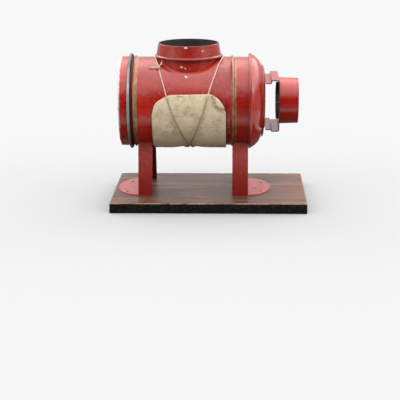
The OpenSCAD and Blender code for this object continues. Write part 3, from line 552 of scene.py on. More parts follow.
def board_wood(name, spec):
    g = Graph(name)
    x, y, z = g.xyz()
    # stained plank: fine wavy grain along X
    bend = g.mul(g.sub(g.noise(60, g.comb(x, g.mul(y, 1.6), 0.0), detail=2), 0.5), 7.0 * MM)
    yy = g.add(y, bend)
    rings = g.noise(5.2, g.comb(g.mul(x, 0.040), yy, z), detail=5, rough=0.70)
    streak = g.noise(1.15, g.comb(g.mul(x, 0.016), yy, z), detail=3, rough=0.6)
    pores = g.noise(0.55, g.comb(g.mul(x, 0.050), yy, z), detail=2, rough=0.6)
    cloud = g.noise(40, g.comb(g.mul(x, 0.35), y, z), detail=3)
    broad = g.noise(10.5, g.comb(g.mul(x, 0.085), yy, z), detail=5, rough=0.72)
    col = g.mix(g.smooth(rings, 0.40, 0.60), (0.022, 0.0070, 0.0042), (0.108, 0.0400, 0.0262))
    col = g.mix(g.mul(g.smooth(broad, 0.51, 0.57), 0.85), col, (0.165, 0.086, 0.063))
    col = g.mix(g.mul(g.smooth(broad, 0.48, 0.42), 0.88), col, (0.007, 0.0028, 0.0022))
    col = g.mix(g.mul(g.smooth(streak, 0.50, 0.62), 0.60), col, (0.150, 0.068, 0.048))
    col = g.mix(g.mul(g.smooth(streak, 0.48, 0.38), 0.65), col, (0.014, 0.0055, 0.0040))
    col = g.mix(g.mul(g.smooth(pores, 0.53, 0.63), 0.70), col, (0.012, 0.0052, 0.0042))
    fibre = g.noise(0.9, g.comb(g.mul(x, 0.11), yy, z), detail=3, rough=0.65)
    col = g.mix(g.mul(g.smooth(fibre, 0.54, 0.64), 0.40), col, (0.165, 0.082, 0.062))
    col = g.mix(g.mul(g.smooth(fibre, 0.46, 0.36), 0.45), col, (0.016, 0.0065, 0.0048))
    col = g.mix(g.mul(g.smooth(cloud, 0.46, 0.62), 0.50), col, (0.026, 0.0110, 0.0085))
    # redder and lighter towards the right end and the front, away from the lantern: painted light
    ends = g.mul(g.mx(g.smooth(x, 56 * MM, 90 * MM), g.mul(g.smooth(y, -40 * MM, -58 * MM), 0.55)), 0.60)
    col = g.mix(g.mul(ends, g.lin(broad, 0.35, 0.65, 0.35, 1.0)), col, (0.150, 0.055, 0.038))
    rubbed = g.mul(g.smooth(g.noise(2.6, g.comb(g.mul(x, 0.07), yy, z), detail=4, rough=0.65), 0.60, 0.70), 0.30)
    col = g.mix(rubbed, col, (0.150, 0.080, 0.062))
    # sides are painted black, chipped and rubbed through along the upper edge
    wob = g.mul(g.sub(g.noise(3.5, detail=4), 0.5), 1.2 * MM)
    side = g.smooth(g.add(z, g.mul(wob, 0.6)), 10.0 * MM, 9.5 * MM)
    under = g.smooth(z, 0.3 * MM, 0.05 * MM)
    long = g.comb(g.mul(x, 0.3), y, z)
    black = g.mix(g.noise(4, long, detail=4), (0.0016, 0.0016, 0.0016), (0.0050, 0.0046, 0.0042))
    fleck = g.noise(0.9, g.comb(g.mul(x, 0.5), y, z), detail=4, rough=0.75)
    high = g.smooth(z, 5.0 * MM, 10.0 * MM)
    black = g.mix(g.mul(g.smooth(fleck, 0.575, 0.655), g.lin(high, 0.0, 1.0, 0.45, 1.0)), black, (0.130, 0.098, 0.070))
    scuff = g.smooth(g.noise(2.6, long, detail=5, rough=0.7), 0.66, 0.74)
    black = g.mix(g.mul(scuff, 0.6), black, (0.055, 0.045, 0.036))
    col = g.mix(side, col, black)
    rim = g.mx(g.sub(g.math("ABSOLUTE", x), 99.0 * MM), g.sub(g.math("ABSOLUTE", y), 61.5 * MM))
    rim = g.add(rim, g.mul(wob, 0.45))
    edge = g.mul(g.smooth(g.add(z, g.mul(wob, 0.5)), 9.5 * MM, 9.9 * MM), g.smooth(rim, -0.25 * MM, 0.20 * MM))
    edge = g.mul(edge, g.smooth(g.noise(3.6, g.comb(g.mul(x, 0.4), y, z), detail=5, rough=0.68), 0.38, 0.56))
    col = g.mix(g.mul(edge, 0.75), col, (0.275, 0.185, 0.120))
    raw = g.mix(g.noise(2.0, g.comb(g.mul(x, 0.05), y, z), detail=4), (0.20, 0.145, 0.095), (0.11, 0.075, 0.050))
    col = g.mix(under, col, raw)
    rgh = g.lin(rings, 0.3, 0.7, 0.30, 0.42)
    rgh = g.add(rgh, g.mul(g.smooth(streak, 0.5, 0.7), 0.08))
    rgh = g.add(rgh, g.mul(rubbed, 0.25))
    rgh = g.mixf(g.mx(side, under), rgh, 0.80)
    rgh = g.mixf(edge, rgh, 0.75)
    n = g.bump(rings, 0.04, 0.5)
    n = g.bump(pores, 0.04, 0.6, n)
    n = g.bump(g.noise(18, g.comb(g.mul(x, 0.3), y, z), detail=2), 0.12, 0.35, n)
    return g.shader(col, rgh, 0.0, n, spec=spec)


def card_paper(name):
    g = Graph(name)
    x, y, z, r, ang = axis_coords(g)
    fibre = g.noise(0.8, detail=4, rough=0.7)
    cloud = g.noise(13, detail=4, rough=0.6)
    col = g.mix(g.smooth(cloud, 0.36, 0.7), (0.545, 0.455, 0.322), (0.455, 0.370, 0.248))
    # handling dirt in three sizes
    blot = g.noise(6.5, detail=6, rough=0.78)
    col = g.mix(g.mul(g.smooth(blot, 0.50, 0.66), 0.50), col, (0.320, 0.245, 0.150))
    mott = g.noise(1.9, detail=4, rough=0.75)
    col = g.mix(g.mul(g.smooth(mott, 0.52, 0.66), 0.42), col, (0.300, 0.225, 0.135))
    col = g.mix(g.mul(g.smooth(mott, 0.46, 0.34), 0.35), col, (0.60, 0.52, 0.385))
    where = g.smooth(g.noise(22, detail=3), 0.44, 0.58)
    dots = g.mul(g.smooth(g.noise(1.15, detail=3, rough=0.7), 0.60, 0.66), where)
    col = g.mix(g.mul(dots, 0.70), col, (0.135, 0.088, 0.048))
    # rubbed lines along the tube, where it was flexed
    flat = g.comb(g.mul(x, 0.07), y, z)
    lines = g.smooth(g.noise(1.7, flat, detail=4, rough=0.7), 0.56, 0.68)
    col = g.mix(g.mul(lines, 0.45), col, (0.285, 0.215, 0.135))
    sway = g.mul(g.sub(g.noise(9, detail=3), 0.5), 1.6 * MM)
    for z0, k in ((84.6, 0.55), (77.8, 0.42), (66.5, 0.35)):
        m = g.mul(g.band(g.add(z, sway), (z0 - 0.25) * MM, (z0 + 0.25) * MM, 0.45 * MM), g.smooth(g.noise(7, detail=4), 0.42, 0.58))
        col = g.mix(g.mul(m, k), col, (0.185, 0.125, 0.072))
    # brown smears: (x, y, z, radius)
    for spots, k in ((((-20.5, -44.3, 103.5, 3.4), (-22.5, -44.3, 99.0, 2.4), (-17.0, -44.3, 97.5, 2.2)), 0.42),
                     (((-13.0, -43.7, 95.4, 4.0), (-7.0, -43.2, 93.2, 3.2)), 0.34),
                     (((-34.5, -43.0, 92.8, 2.6), (-36.5, -42.0, 88.5, 2.2), (-33.0, -40.0, 82.0, 2.8)), 0.42),
                     (((6.8, -42.7, 90.2, 3.6), (11.5, -43.4, 93.6, 3.0)), 0.34),
                     (((-44.0, -38.0, 76.0, 4.6), (-35.5, -37.0, 75.0, 3.2)), 0.36),
                     (((-52.5, -43.6, 98.0, 2.6), (-47.0, -43.9, 101.5, 2.0)), 0.30)):
        m = g.mul(g.chips(spots, 2.6), g.smooth(mott, 0.36, 0.60, 0.35, 1.0))
        col = g.mix(g.mul(m, k), col, (0.200, 0.130, 0.070))
    # painted shade: the card darkens towards the bottom
    col = g.mix(g.mul(g.smooth(z, 92 * MM, 60 * MM), 0.15), col, (0.330, 0.262, 0.170))
    col = g.mix(g.mul(g.smooth(fibre, 0.55, 0.75), 0.30), col, (0.62, 0.54, 0.40))
    col = g.mix(g.mul(g.smooth(fibre, 0.42, 0.30), 0.25), col, (0.22, 0.165, 0.10))
    marks = g.chips([(-30.5, -42.4, 116.4, 1.0), (-28.3, -42.5, 116.0, 1.1), (-25.9, -42.5, 116.2, 0.8), (-22.6, -42.6, 116.0, 0.6),
                     (-18.0, -44.6, 108.6, 0.5), (-19.5, -44.8, 106.0, 0.6), (-46.0, -42.6, 112.6, 0.5), (2.0, -42.4, 116.0, 0.5)], 1.4)
    col = g.mix(g.mul(marks, 0.7), col, (0.165, 0.100, 0.052))
    # the dog-eared corner: brown in the fold, rubbed pale at its upper edge
    crease = g.chips([card_point(q[0], q[1], 0.0) + (0.55,) for q in CREASE], 0.35)
    soil = g.chips([card_point(q[0], q[1], 0.0) + (2.6,) for q in CREASE[1:11]], 1.6)
    col = g.mix(g.mul(soil, g.smooth(mott, 0.34, 0.60, 0.25, 0.75)), col, (0.235, 0.165, 0.092))
    col = g.mix(g.mul(crease, 0.60), col, (0.165, 0.100, 0.056))
    brown = g.chips([(6.4, -43.8, 109.7, 1.3), (7.9, -44.1, 105.7, 1.5), (9.8, -44.0, 103.7, 1.2), (12.9, -44.2, 101.7, 0.9),
                     (5.0, -43.1, 113.2, 0.8)], 1.2)
    col = g.mix(g.mul(brown, 0.50), col, (0.215, 0.135, 0.072))
    pale = g.chips([(8.9, -43.9, 113.3, 0.9), (10.4, -44.2, 111.8, 0.8), (7.4, -43.6, 114.5, 0.6)], 1.2)
    col = g.mix(g.mul(pale, 0.75), col, (0.78, 0.66, 0.54))
    n = g.bump(fibre, 0.05, 0.6)
    n = g.bump(cloud, 0.25, 0.35, n)
    n = g.bump(mott, 0.06, 0.4, n)
    n = g.bump(lines, 0.05, 0.4, n)
    return g.shader(col, g.lin(cloud, 0.3, 0.7, 0.62, 0.82), 0.0, n, spec=0.35)


def twine_mat(name):
    g = Graph(name)
    x, y, z = g.xyz()
    f = g.noise(0.5, detail=4, rough=0.7)
    c = g.noise(9, detail=3)
    col = g.mix(f, (0.72, 0.54, 0.43), (0.46, 0.320, 0.240))
    col = g.mix(g.mul(g.smooth(c, 0.5, 0.7), 0.25), col, (0.48, 0.33, 0.23))
    # the lower runs, over the card, are darker
    low = g.smooth(g.add(z, g.mul(g.sub(c, 0.5), 7 * MM)), 118.5 * MM, 112 * MM)
    dark = g.mix(f, (0.42, 0.315, 0.190), (0.235, 0.168, 0.098))
    col = g.mix(low, col, dark)
    # painted shade: darker still towards the underside of the tube
    col = g.mix(g.smooth(z, 92 * MM, 70 * MM, 0.0, 0.65), col, g.mix(f, (0.20, 0.14, 0.085), (0.10, 0.066, 0.040)))
    # darker round the knot
    kd = g.vmath("DISTANCE", g.co(), (-50.5 * MM, AY * MM - 27.0 * MM, AZ * MM + 39.2 * MM))
    col = g.mix(g.smooth(kd, 4.5 * MM, 2.0 * MM, 0.0, 0.60), col, g.mix(f, (0.47, 0.33, 0.24), (0.24, 0.155, 0.105)))
    return g.shader(col, 0.88, 0.0, g.bump(f, 0.06, 0.8), spec=0.25, sheen=0.1)


def soot(name):
    g = Graph(name)
    t = g.noise(6, detail=4)
    col = g.mix(t, (0.008, 0.008, 0.0085), (0.022, 0.02, 0.018))
    return g.shader(col, 0.65, 0.0, g.bump(t, 0.05, 0.5))


def set_mat(node, mat):
    o = NODES[node] if isinstance(node, str) else node
    o.data.materials.clear()
    o.data.materials.append(mat)
    return o


M_BODY = red_enamel("red_body", joint=True, wave=1.35, bands=((-75.7, -71.7), (24.2, 28.2)), inner=("x", 45.3),
                    chips=((-23.3, -30.7, 134.3, 0.75), (-22.0, -31.2, 133.6, 0.8), (-20.4, -31.2, 133.9, 0.5), (-22.9, -31.6, 133.2, 0.45),
                           (20.4, -42.5, 97.3, 0.32), (20.9, -41.2, 90.9, 0.28), (20.3, -38.7, 84.2, 0.36), (20.8, -34.7, 77.2, 0.25),
                           (-64.5, -19.7, 143.1, 0.3), (-67.5, -17.0, 144.6, 0.25), (-60.0, -22.5, 141.3, 0.28)),
                    speckle=((13.5, 16.5), (19.6, 22.6)), grime=((-77.6, -77.0, 0.7), (28.9, 29.6, 0.35)))
# the cap's lacquer is set lighter than the body's: painted light from the front left; it also darkens towards the
# bottom as painted shade
M_CAP = red_enamel("red_cap", a=(0.315, 0.0075, 0.0033), b=(0.255, 0.0060, 0.0027), bare=((-90.4, -88.7, 1.10),), grime=((-82.9, -81.8, 0.8),), inner=("x", 40.0), lower=(60, 95, 0.45))
M_RED = red_enamel("red_plain")
M_DOME = red_enamel("red_dome", grime=((53.8, 55.2, 0.9), (42.9, 43.4, 0.35), (40.6, 40.9, 0.8)), a=(0.29, 0.0095, 0.0046), b=(0.24, 0.0075, 0.0038))
M_DISC = red_enamel("red_disc", grime=((54.2, 55.0, 0.8),))
# the legs darken towards the board: painted shade
M_STAND = red_enamel("red_stand", a=(0.268, 0.0370, 0.0305), b=(0.232, 0.0285, 0.0235), rough=0.28, lower=(14, 56, 0.98),
                     lower_col=(0.140, 0.0045, 0.0020), foot=True, spec=0.24)
# the darker band at z 149-151 is painted shade that dulls the bead's highlight
M_COLLAR = red_enamel("red_collar", inner=("c", 30.6), zshade=((149.0, 151.0, 0.55),), a=(0.262, 0.0120, 0.0058), b=(0.215, 0.0090, 0.0045), rough=0.17, spec=0.42,
                      chips=((-5.5, -25.2, 159.1, 0.7), (-6.4, -25.6, 158.6, 0.45), (-22.4, -28.4, 162.7, 0.95), (-23.9, -28.0, 162.6, 0.6), (-20.8, -28.6, 162.7, 0.5),
                             (-3.6, -24.3, 159.8, 0.3)))
# the darker band at z 149.5-152 is painted shade under the collar rim
M_SLEEVE = red_enamel("red_sleeve", inner=("c", 30.2), a=(0.355, 0.0165, 0.0080), b=(0.300, 0.0125, 0.0065),
                      zshade=((149.5, 152, 0.2),), spec=0.42,
                      chips=((-27.6, -26.9, 143.2, 0.85), (-26.3, -27.1, 142.9, 0.6), (-23.4, -27.5, 141.7, 0.6), (-18.6, -27.5, 141.3, 0.35)))
M_TIN = tin_plate("bare_tin")
M_BRASS = brass("aged_brass")
M_GLASS = glass("lens_glass")
M_LAMPGLASS = glass("chimney_glass", (0.95, 0.97, 0.96), 0.03, 1.47)
M_IRON = iron("nail_iron")
M_WIRE = iron("steel_wire", (0.35, 0.34, 0.32), 0.4)
M_CELL = cell_black("cell_black")
M_WICK = cotton("wick_cotton")
M_WOOD = board_wood("board_wood", 0.21)
M_PAINT = board_wood("board_paint", 0.12)
M_CARD = card_paper("card_paper")
M_TWINE = twine_mat("twine")
M_SOOT = soot("soot")

for n, m in {
    "baseboard": M_WOOD, "rear_stand": M_STAND, "front_stand": M_STAND, "stand_nails": M_IRON,
    "body_shell": M_BODY, "chimney_sleeve": M_SLEEVE, "chimney_collar": M_COLLAR, "collar_rim_wire": M_WIRE,
    "rear_cap": M_CAP, "rear_cap_disc": M_RED, "rear_cap_sleeve": rim_tin("rim_tin"), "reflector": M_TIN, "reflector_rivet": M_TIN,
    "front_barrel": red_enamel("red_barrel", bands=((24.2, 28.2),), inner=("x", 44.9), grime=((40.2, 41.0, 0.8),)), "front_dome": M_DOME, "dome_disc": M_DISC,
    "condenser_cell": M_TIN, "condenser_lens": M_GLASS, "condenser_ring": M_WIRE,
    "slide_stage": red_enamel("red_stage", cut=STAGE_W / 2), "lens_jacket": red_enamel("red_jacket", grime=((71.9, 72.7, 0.7),), rough=0.07, wave=0.5, scratch=0.5,
                              a=(0.30, 0.0078, 0.0034)), "rear_lens_cell": M_CELL,
    "rear_lens": M_GLASS, "rear_lens_ring": M_WIRE,
    "draw_tube": red_enamel("red_draw", inner=("x", 22.6)), "front_lens": M_GLASS, "front_lens_ring": M_WIRE,
    "lamp_tray": M_TIN, "lamp_font": M_BRASS, "lamp_burner": M_BRASS, "wick_tube": M_BRASS, "lamp_wick": M_WICK,
    "wick_wheel": M_BRASS, "wick_spindle": M_BRASS, "wick_knob": M_BRASS, "lamp_gallery": M_BRASS, "lamp_glass": M_LAMPGLASS,
    "side_card": M_CARD, "tie_string": M_TWINE, "tie_knot": M_TWINE,
}.items():
    o = set_mat(n, m)
    for p in o.data.polygons:
        p.use_smooth = True
    mod = o.modifiers.new("weld", "WELD")
    mod.merge_threshold = 1e-6
    sm = o.modifiers.new("edges", "EDGE_SPLIT")
    sm.split_angle = math.radians(32)

# ------------------------------------------------------------------ modelled pieces
def piece(name, verts, faces, mat, body, node=None, smooth=True, split=None):
    """verts in mm, in the part's frame; the piece rides on a body and may stand for a CAD node."""
    me = bpy.data.meshes.new(name)
    me.from_pydata([(v[0] * MM, v[1] * MM, v[2] * MM) for v in verts], [], faces)
    me.validate()
    for q in me.polygons:
        q.use_smooth = smooth
    o = bpy.data.objects.new(name, me)
    scene.collection.objects.link(o)
    me.materials.append(mat)
    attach(o, body)
    if node:
        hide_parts(node)
    if split:
        m = o.modifiers.new("edges", "EDGE_SPLIT")
        m.split_angle = math.radians(split)
    return o


def grid_solid(outer, inner):
    """Closed thin solid between two equal grids of points [i][j]."""
    n, m = len(outer), len(outer[0])
    verts = [q for row in outer for q in row] + [q for row in inner for q in row]
    base = n * m
    faces = []
    for i in range(n - 1):
        for j in range(m - 1):
            a, b, c, d = i * m + j, i * m + j + 1, (i + 1) * m + j + 1, (i + 1) * m + j
            faces.append((a, b, c, d))
            faces.append((base + d, base + c, base + b, base + a))
    rim = [(0, j) for j in range(m)] + [(i, m - 1) for i in range(1, n)] + [(n - 1, j) for j in range(m - 2, -1, -1)] \
        + [(i, 0) for i in range(n - 2, 0, -1)]
    for (i0, j0), (i1, j1) in zip(rim, rim[1:] + rim[:1]):
        a, b = i0 * m + j0, i1 * m + j1
        faces.append((b, a, base + a, base + b))
    return verts, faces


def lathe(prof, segs, bend=None, axis_z=AZ):
    """Closed ring of revolution about the optical axis. prof: closed loop of (x, radius); bend(x, r, deg) -> (x, r)."""
    verts, faces = [], []
    m = len(prof)
    for k in range(segs):
        a = 360.0 * k / segs
        t = math.radians(a)
        for x, r in prof:
            if bend:
                x, r = bend(x, r, a)
            verts.append((x, AY - r * math.sin(t), axis_z + r * math.cos(t)))
    for k in range(segs):
        k2 = (k + 1) % segs
        for i in range(m):
            i2 = (i + 1) % m
            faces.append((k * m + i, k * m + i2, k2 * m + i2, k2 * m + i))
    return verts, faces


def catmull(pts, per):
    out = []
    n = len(pts)
    P = [Vector(q) for q in pts]
    for i in range(n - 1):
        a, b, c, d = P[max(i - 1, 0)], P[i], P[i + 1], P[min(i + 2, n - 1)]
        for k in range(per):
            t = k / per
            out.append(0.5 * ((2 * b) + (c - a) * t + (2 * a - 5 * b + 4 * c - d) * t * t + (3 * b - a - 3 * c + d) * t ** 3))
    out.append(P[-1])
    return out


def resample(pts, step):
    """Equal steps along a polyline."""
    P = [Vector(q) for q in pts]
    lens = [0.0]
    for a, b in zip(P, P[1:]):
        lens.append(lens[-1] + (b - a).length)
    n = max(2, int(round(lens[-1] / step)))
    out, k = [], 0
    for i in range(n + 1):
        d = lens[-1] * i / n
        while k < len(P) - 2 and lens[k + 1] < d:
            k += 1
        t = (d - lens[k]) / max(1e-9, lens[k + 1] - lens[k])
        out.append(P[k].lerp(P[k + 1], min(1.0, max(0.0, t))))
    return out


def axis_normal(q):
    v = Vector((0.0, q.y - AY, q.z - AZ))
    return v.normalized()


def tube_mesh(centres, radii, sides, closed, verts, faces, ref=axis_normal):
    n = len(centres)
    base = len(verts)
    for i, c in enumerate(centres):
        a = centres[(i - 1) % n] if closed or i > 0 else centres[i]
        b = centres[(i + 1) % n] if closed or i < n - 1 else centres[i]
        t = (b - a).normalized()
        u = ref(c)
        u = (u - t * u.dot(t))
        if u.length < 1e-6:
            u = t.orthogonal()
        u.normalize()
        w = t.cross(u)
        for k in range(sides):
            g = 2 * math.pi * k / sides
            verts.append(c + radii[i] * (math.cos(g) * u + math.sin(g) * w))
    m = n if closed else n - 1
    for i in range(m):
        i2 = (i + 1) % n
        for k in range(sides):
            k2 = (k + 1) % sides
            faces.append((base + i * sides + k, base + i * sides + k2, base + i2 * sides + k2, base + i2 * sides + k))
    if not closed:
        faces.append(tuple(base + k for k in range(sides)))
        faces.append(tuple(base + (n - 1) * sides + k for k in range(sides - 1, -1, -1)))


def twine(path, closed, verts, faces, ply=0.37, offset=0.29, pitch=2.7, step=0.30, sides=7, fray=0.0, seed=5, hairs=0.9, ref=axis_normal):
    """Two-ply twisted string along a path, with loose fibres standing off it."""
    P = resample(path + ([path[0]] if closed else []), step)
    if closed:
        P = P[:-1]
    n = len(P)
    turns = max(1, round(n * step / pitch))
    rng = np.random.RandomState(seed)
    frames = []
    for i, c in enumerate(P):
        a = P[(i - 1) % n] if closed or i > 0 else P[i]
        b = P[(i + 1) % n] if closed or i < n - 1 else P[i]
        t = (b - a).normalized()
        u = ref(c)
        u = u - t * u.dot(t)
        if u.length < 1e-6:
            u = t.orthogonal()
        u.normalize()
        frames.append((t, u, t.cross(u)))
    for half in (0, 1):
        centres, radii = [], []
        for i, c in enumerate(P):
            g = 2 * math.pi * turns * i / n + math.pi * half
            k = 1.0 + 0.10 * noise.noise(Vector((i * step / 3.0, seed * 1.7, half * 3.3)))
            end = 0.0 if closed else smooth01(1 - min(i, n - 1 - i) * step / 2.2)
            off = offset * (1 + 1.1 * end * fray)
            t, u, w = frames[i]
            centres.append(c + off * (math.cos(g) * u + math.sin(g) * w))
            radii.append(ply * k * (1 - 0.45 * end * fray))
        tube_mesh(centres, radii, sides, closed, verts, faces, ref)
    count = int(n * step * hairs)
    for _ in range(count):
        i = rng.randint(2, n - 2)
        t, u, w = frames[i]
        g = rng.uniform(0, 2 * math.pi)
        d = (math.cos(g) * u + math.sin(g) * w)
        if d.dot(axis_normal(P[i])) < -0.2:
            continue
        ln = rng.uniform(0.7, 1.9)
        lean = t * rng.uniform(-1.0, 1.0)
        pts = [P[i] + d * (0.5 + ln * f * (0.7 - 0.25 * f)) + lean * (ln * f) for f in (0.0, 0.35, 0.7, 1.0)]
        tube_mesh(pts, [0.05, 0.045, 0.04, 0.015], 3, False, verts, faces, ref)
    return P


# the tied-on card: a thin curled sheet
TOP = [(-56.7, 97.3), (-55.3, 89.5), (-52.8, 83.0), (-47.7, 78.2), (-40.7, 73.6), (-34.0, 72.6), (-21.0, 72.3), (-8.0, 71.8),
       (-0.5, 71.6), (3.3, 72.2), (8.4, 75.9), (12.3, 80.4), (15.4, 86.4), (17.7, 94.8)]


def make_card():
    nx, na = ((112, 150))
    x0, x1 = -56.7, 17.7
    outer, inner = [], []
    for j in range(nx + 1):
        u = 0.5 - 0.5 * math.cos(math.pi * j / nx)
        x = x0 + (x1 - x0) * u
        a0 = hermite(TOP, x)
        e = min(x - x0, x1 - x)
        a1 = 185.0 - (6.0 * (1 - math.sqrt(max(0.0, 1 - (1 - min(e, 6.0) / 6.0) ** 2))) / 0.827)
        ro, ri = [], []
        for i in range(na + 1):
            a = a0 + (a1 - a0) * i / na
            # slightly ragged cut edge
            w = 0.10 * fuzz(x, a, 0, 2.2, 1.9) * (1 if min(i, na - i, j, nx - j) == 0 else 0)
            edge = min(i, na - i, j, nx - j)
            soft = 0.12 if edge == 0 else 0.0
            ro.append(card_point(x + w, a + w, -soft))
            ri.append(card_point(x + w, a + w, -0.62 + soft))
        outer.append(ro)
        inner.append(ri)
    v, f = grid_solid(inner, outer)
    return piece("side_card_sheet", v, f, M_CARD, "lantern", "side_card")


# the string: one closed loop round the lamp house
def string_point(s):
    a = s % 360.0
    x = hermite(STRAND, s)
    t = math.radians(a)
    r = BODY_R + 0.12 + 0.62
    on = smooth01((a - 69.5) / 5.0) * smooth01((190.5 - a) / 5.0)
    if on > 0:
        r = r + (card_out(x, min(max(a, 74.0), 184.0)) + 0.58 - r) * on
    if abs(s - 512) < 14:
        r += 1.25 * (0.5 + 0.5 * math.cos(math.pi * (s - 512) / 14.0))
    return Vector((x, AY - r * math.sin(t), AZ + r * math.cos(t)))


def make_string():
    path = [string_point(720.0 * i / 720) for i in range(720)]
    v, f = [], []
    twine(path, True, v, f, step=0.30, sides=7)
    return piece("tie_string_twine", v, f, M_TWINE, "lantern", "tie_string")


def shell_point(a, x, up):
    r = BODY_R + up
    t = math.radians(a)
    return Vector((x, AY - r * math.sin(t), AZ + r * math.cos(t)))


def make_knot():
    k = shell_point(34.5, -50.5, 1.75)
    er = axis_normal(k)
    ex = Vector((1, 0, 0))
    et = ex.cross(er)
    v, f = [], []
    # overhand knot drawn tight round the standing string
    loop = []
    for i in range(72):
        t = 2 * math.pi * i / 72
        px, py, pz = math.sin(t) + 2 * math.sin(2 * t), math.cos(t) - 2 * math.cos(2 * t), -math.sin(3 * t)
        loop.append(k + 0.56 * (px * ex + py * et) + 0.62 * pz * er + 0.15 * er)
    twine(loop, True, v, f, ply=0.36, offset=0.27, pitch=2.5, sides=7, seed=11, hairs=0.8)
    tail_a = catmull([shell_point(34.6, -49.9, 1.9), shell_point(34.3, -51.6, 2.0), shell_point(33.5, -54, 1.25), shell_point(34.5, -57.2, 0.95),
                      shell_point(33.7, -60, 1.15)], 8)
    tail_b = catmull([shell_point(34.6, -50.6, 2.0), shell_point(33.0, -49.8, 2.5), shell_point(29, -48, 2.2), shell_point(24, -47.2, 2.4),
                      shell_point(20, -47.8, 3.0)], 8)
    for q, sd in ((tail_a, 21), (tail_b, 22)):
        twine(q, False, v, f, ply=0.36, offset=0.28, pitch=2.6, fray=1.0, seed=sd, hairs=1.0)
        rng = np.random.RandomState(sd + 40)
        e, d = q[-1], (q[-1] - q[-4]).normalized()
        for _ in range(16):
            w = Vector(rng.normal(size=3)) * 0.45
            w = w - d * w.dot(d) * 0.5
            pts = [e + w * 0.35 - d * 0.5, e + w * 0.8 + d * 0.5, e + w * 1.5 + d * rng.uniform(0.9, 1.6)]
            tube_mesh(pts, [0.09, 0.07, 0.03], 3, False, v, f)
    return piece("tie_knot_twine", v, f, M_TWINE, "lantern", "tie_knot")


# the baseboard: a plank with rubbed, dented edges
def make_board():
    L, W, T = 100.0, 62.5, 10.5
    nx, ny, nz = ((150, 130, 9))
    verts, index, faces = [], {}, []

    def lines(n, h):
        # denser near both ends
        out = []
        for i in range(n + 1):
            u = -1 + 2 * i / n
            out.append(h * (0.72 * u + 0.28 * math.copysign(1 - (1 - abs(u)) ** 3, u)))
        return out
    xs, ys = lines(nx, L), lines(ny, W)
    zs = [T / 2 + q for q in lines(nz, T / 2)]

    def vert(i, j, k):
        key = (i, j, k)
        if key in index:
            return index[key]
        x, y, z = xs[i], ys[j], zs[k]
        # rubbed edges: the rounding grows and shrinks along the edge
        top = z > T / 2
        re = (0.62 + 0.42 * fuzz(x, y, z, 13.0, 4.1) + 0.30 * fuzz(x, y, z, 3.6, 8.2)) if top else 0.35
        corner = smooth01((abs(x) - L + 9) / 9.0) * smooth01((abs(y) - W + 9) / 9.0)
        re = max(0.18, re) + (0.9 * corner if top else 0.25 * corner)
        cx = min(max(x, -L + re), L - re)
        cy = min(max(y, -W + re), W - re)
        cz = min(max(z, re), T - re)
        d = Vector((x - cx, y - cy, z - cz))
        if d.length > 1e-9:
            d = d.normalized() * re
            x, y, z = cx + d.x, cy + d.y, cz + d.z
        # small dents along the upper edges
        near = max(smooth01((abs(x) - L + 3.0) / 3.0), smooth01((abs(y) - W + 3.0) / 3.0)) * smooth01((z - T + 3.0) / 3.0)
        nick = max(0.0, fuzz(x, y, z, 4.5, 12.0) - 0.22) * 1.6 * near
        x -= math.copysign(min(0.5, nick), x) * smooth01((abs(x) - L + 3.0) / 3.0)
        y -= math.copysign(min(0.5, nick), y) * smooth01((abs(y) - W + 3.0) / 3.0)
        if k == nz:
            # the face is not quite flat: shrinkage along the grain, shallow knocks
            inside = smooth01((L - abs(x)) / 6.0) * smooth01((W - abs(y)) / 6.0)
            z -= inside * (0.05 + 0.05 * fuzz(x * 0.06, y, 0, 2.6, 2.2) + 0.04 * fuzz(x, y, 0, 16, 5.5))
            z -= 0.5 * nick
            z = min(z, T)
        if k == 0:
            z = 0.0
        index[key] = len(verts)
        verts.append((x, y, z))
        return index[key]

    for i in range(nx):
        for j in range(ny):
            faces.append((vert(i, j, nz), vert(i + 1, j, nz), vert(i + 1, j + 1, nz), vert(i, j + 1, nz)))
            faces.append((vert(i, j + 1, 0), vert(i + 1, j + 1, 0), vert(i + 1, j, 0), vert(i, j, 0)))
    for k in range(nz):
        for i in range(nx):
            faces.append((vert(i, 0, k), vert(i + 1, 0, k), vert(i + 1, 0, k + 1), vert(i, 0, k + 1)))
            faces.append((vert(i, ny, k + 1), vert(i + 1, ny, k + 1), vert(i + 1, ny, k), vert(i, ny, k)))
        for j in range(ny):
            faces.append((vert(0, j, k + 1), vert(0, j + 1, k + 1), vert(0, j + 1, k), vert(0, j, k)))
            faces.append((vert(nx, j, k), vert(nx, j + 1, k), vert(nx, j + 1, k + 1), vert(nx, j, k + 1)))
    o = piece("baseboard_plank", verts, faces, M_WOOD, "lantern", "baseboard")
    o.data.materials.append(M_PAINT)
    for q in o.data.polygons:
        if abs(q.normal.z) < 0.6 and q.center.z < 9.4 * MM:
            q.material_index = 1
    return o


# the rear cap: the rim has been knocked about, always inwards
DENTS = [(64, 7.5, 0.8), (80, 6.0, 0.9), (98, 8.0, 0.9), (114, 6.0, 0.7), (126, 5.0, 0.5), (36, 6.0, 0.5), (150, 6.0, 0.6),
         (196, 7.0, 0.7), (242, 6.0, 0.8), (281, 5.0, 0.5), (318, 7.0, 0.7), (8, 5.0, 0.4)]


def cap_bend(x, r, a):
    k = smooth01((-x - 82.6) / 6.5)
    dx = 0.16 * (0.5 + 0.5 * fuzz(45 * math.cos(math.radians(a)), 45 * math.sin(math.radians(a)), 0, 12.0, 6.6)) * k
    dr = 0.14 * (0.5 + 0.5 * fuzz(45 * math.cos(math.radians(a)), 45 * math.sin(math.radians(a)), x, 9.0, 9.1)) * k
    for c, w, d in DENTS:
        q = (a - c + 180) % 360 - 180
        g = math.exp(-(q / w) ** 2)
        sh = math.exp(-((x + 91.0) / 3.2) ** 2)
        dx += 0.50 * d * g * sh
        dr += 0.55 * d * g * sh
    return x + dx, r - dr


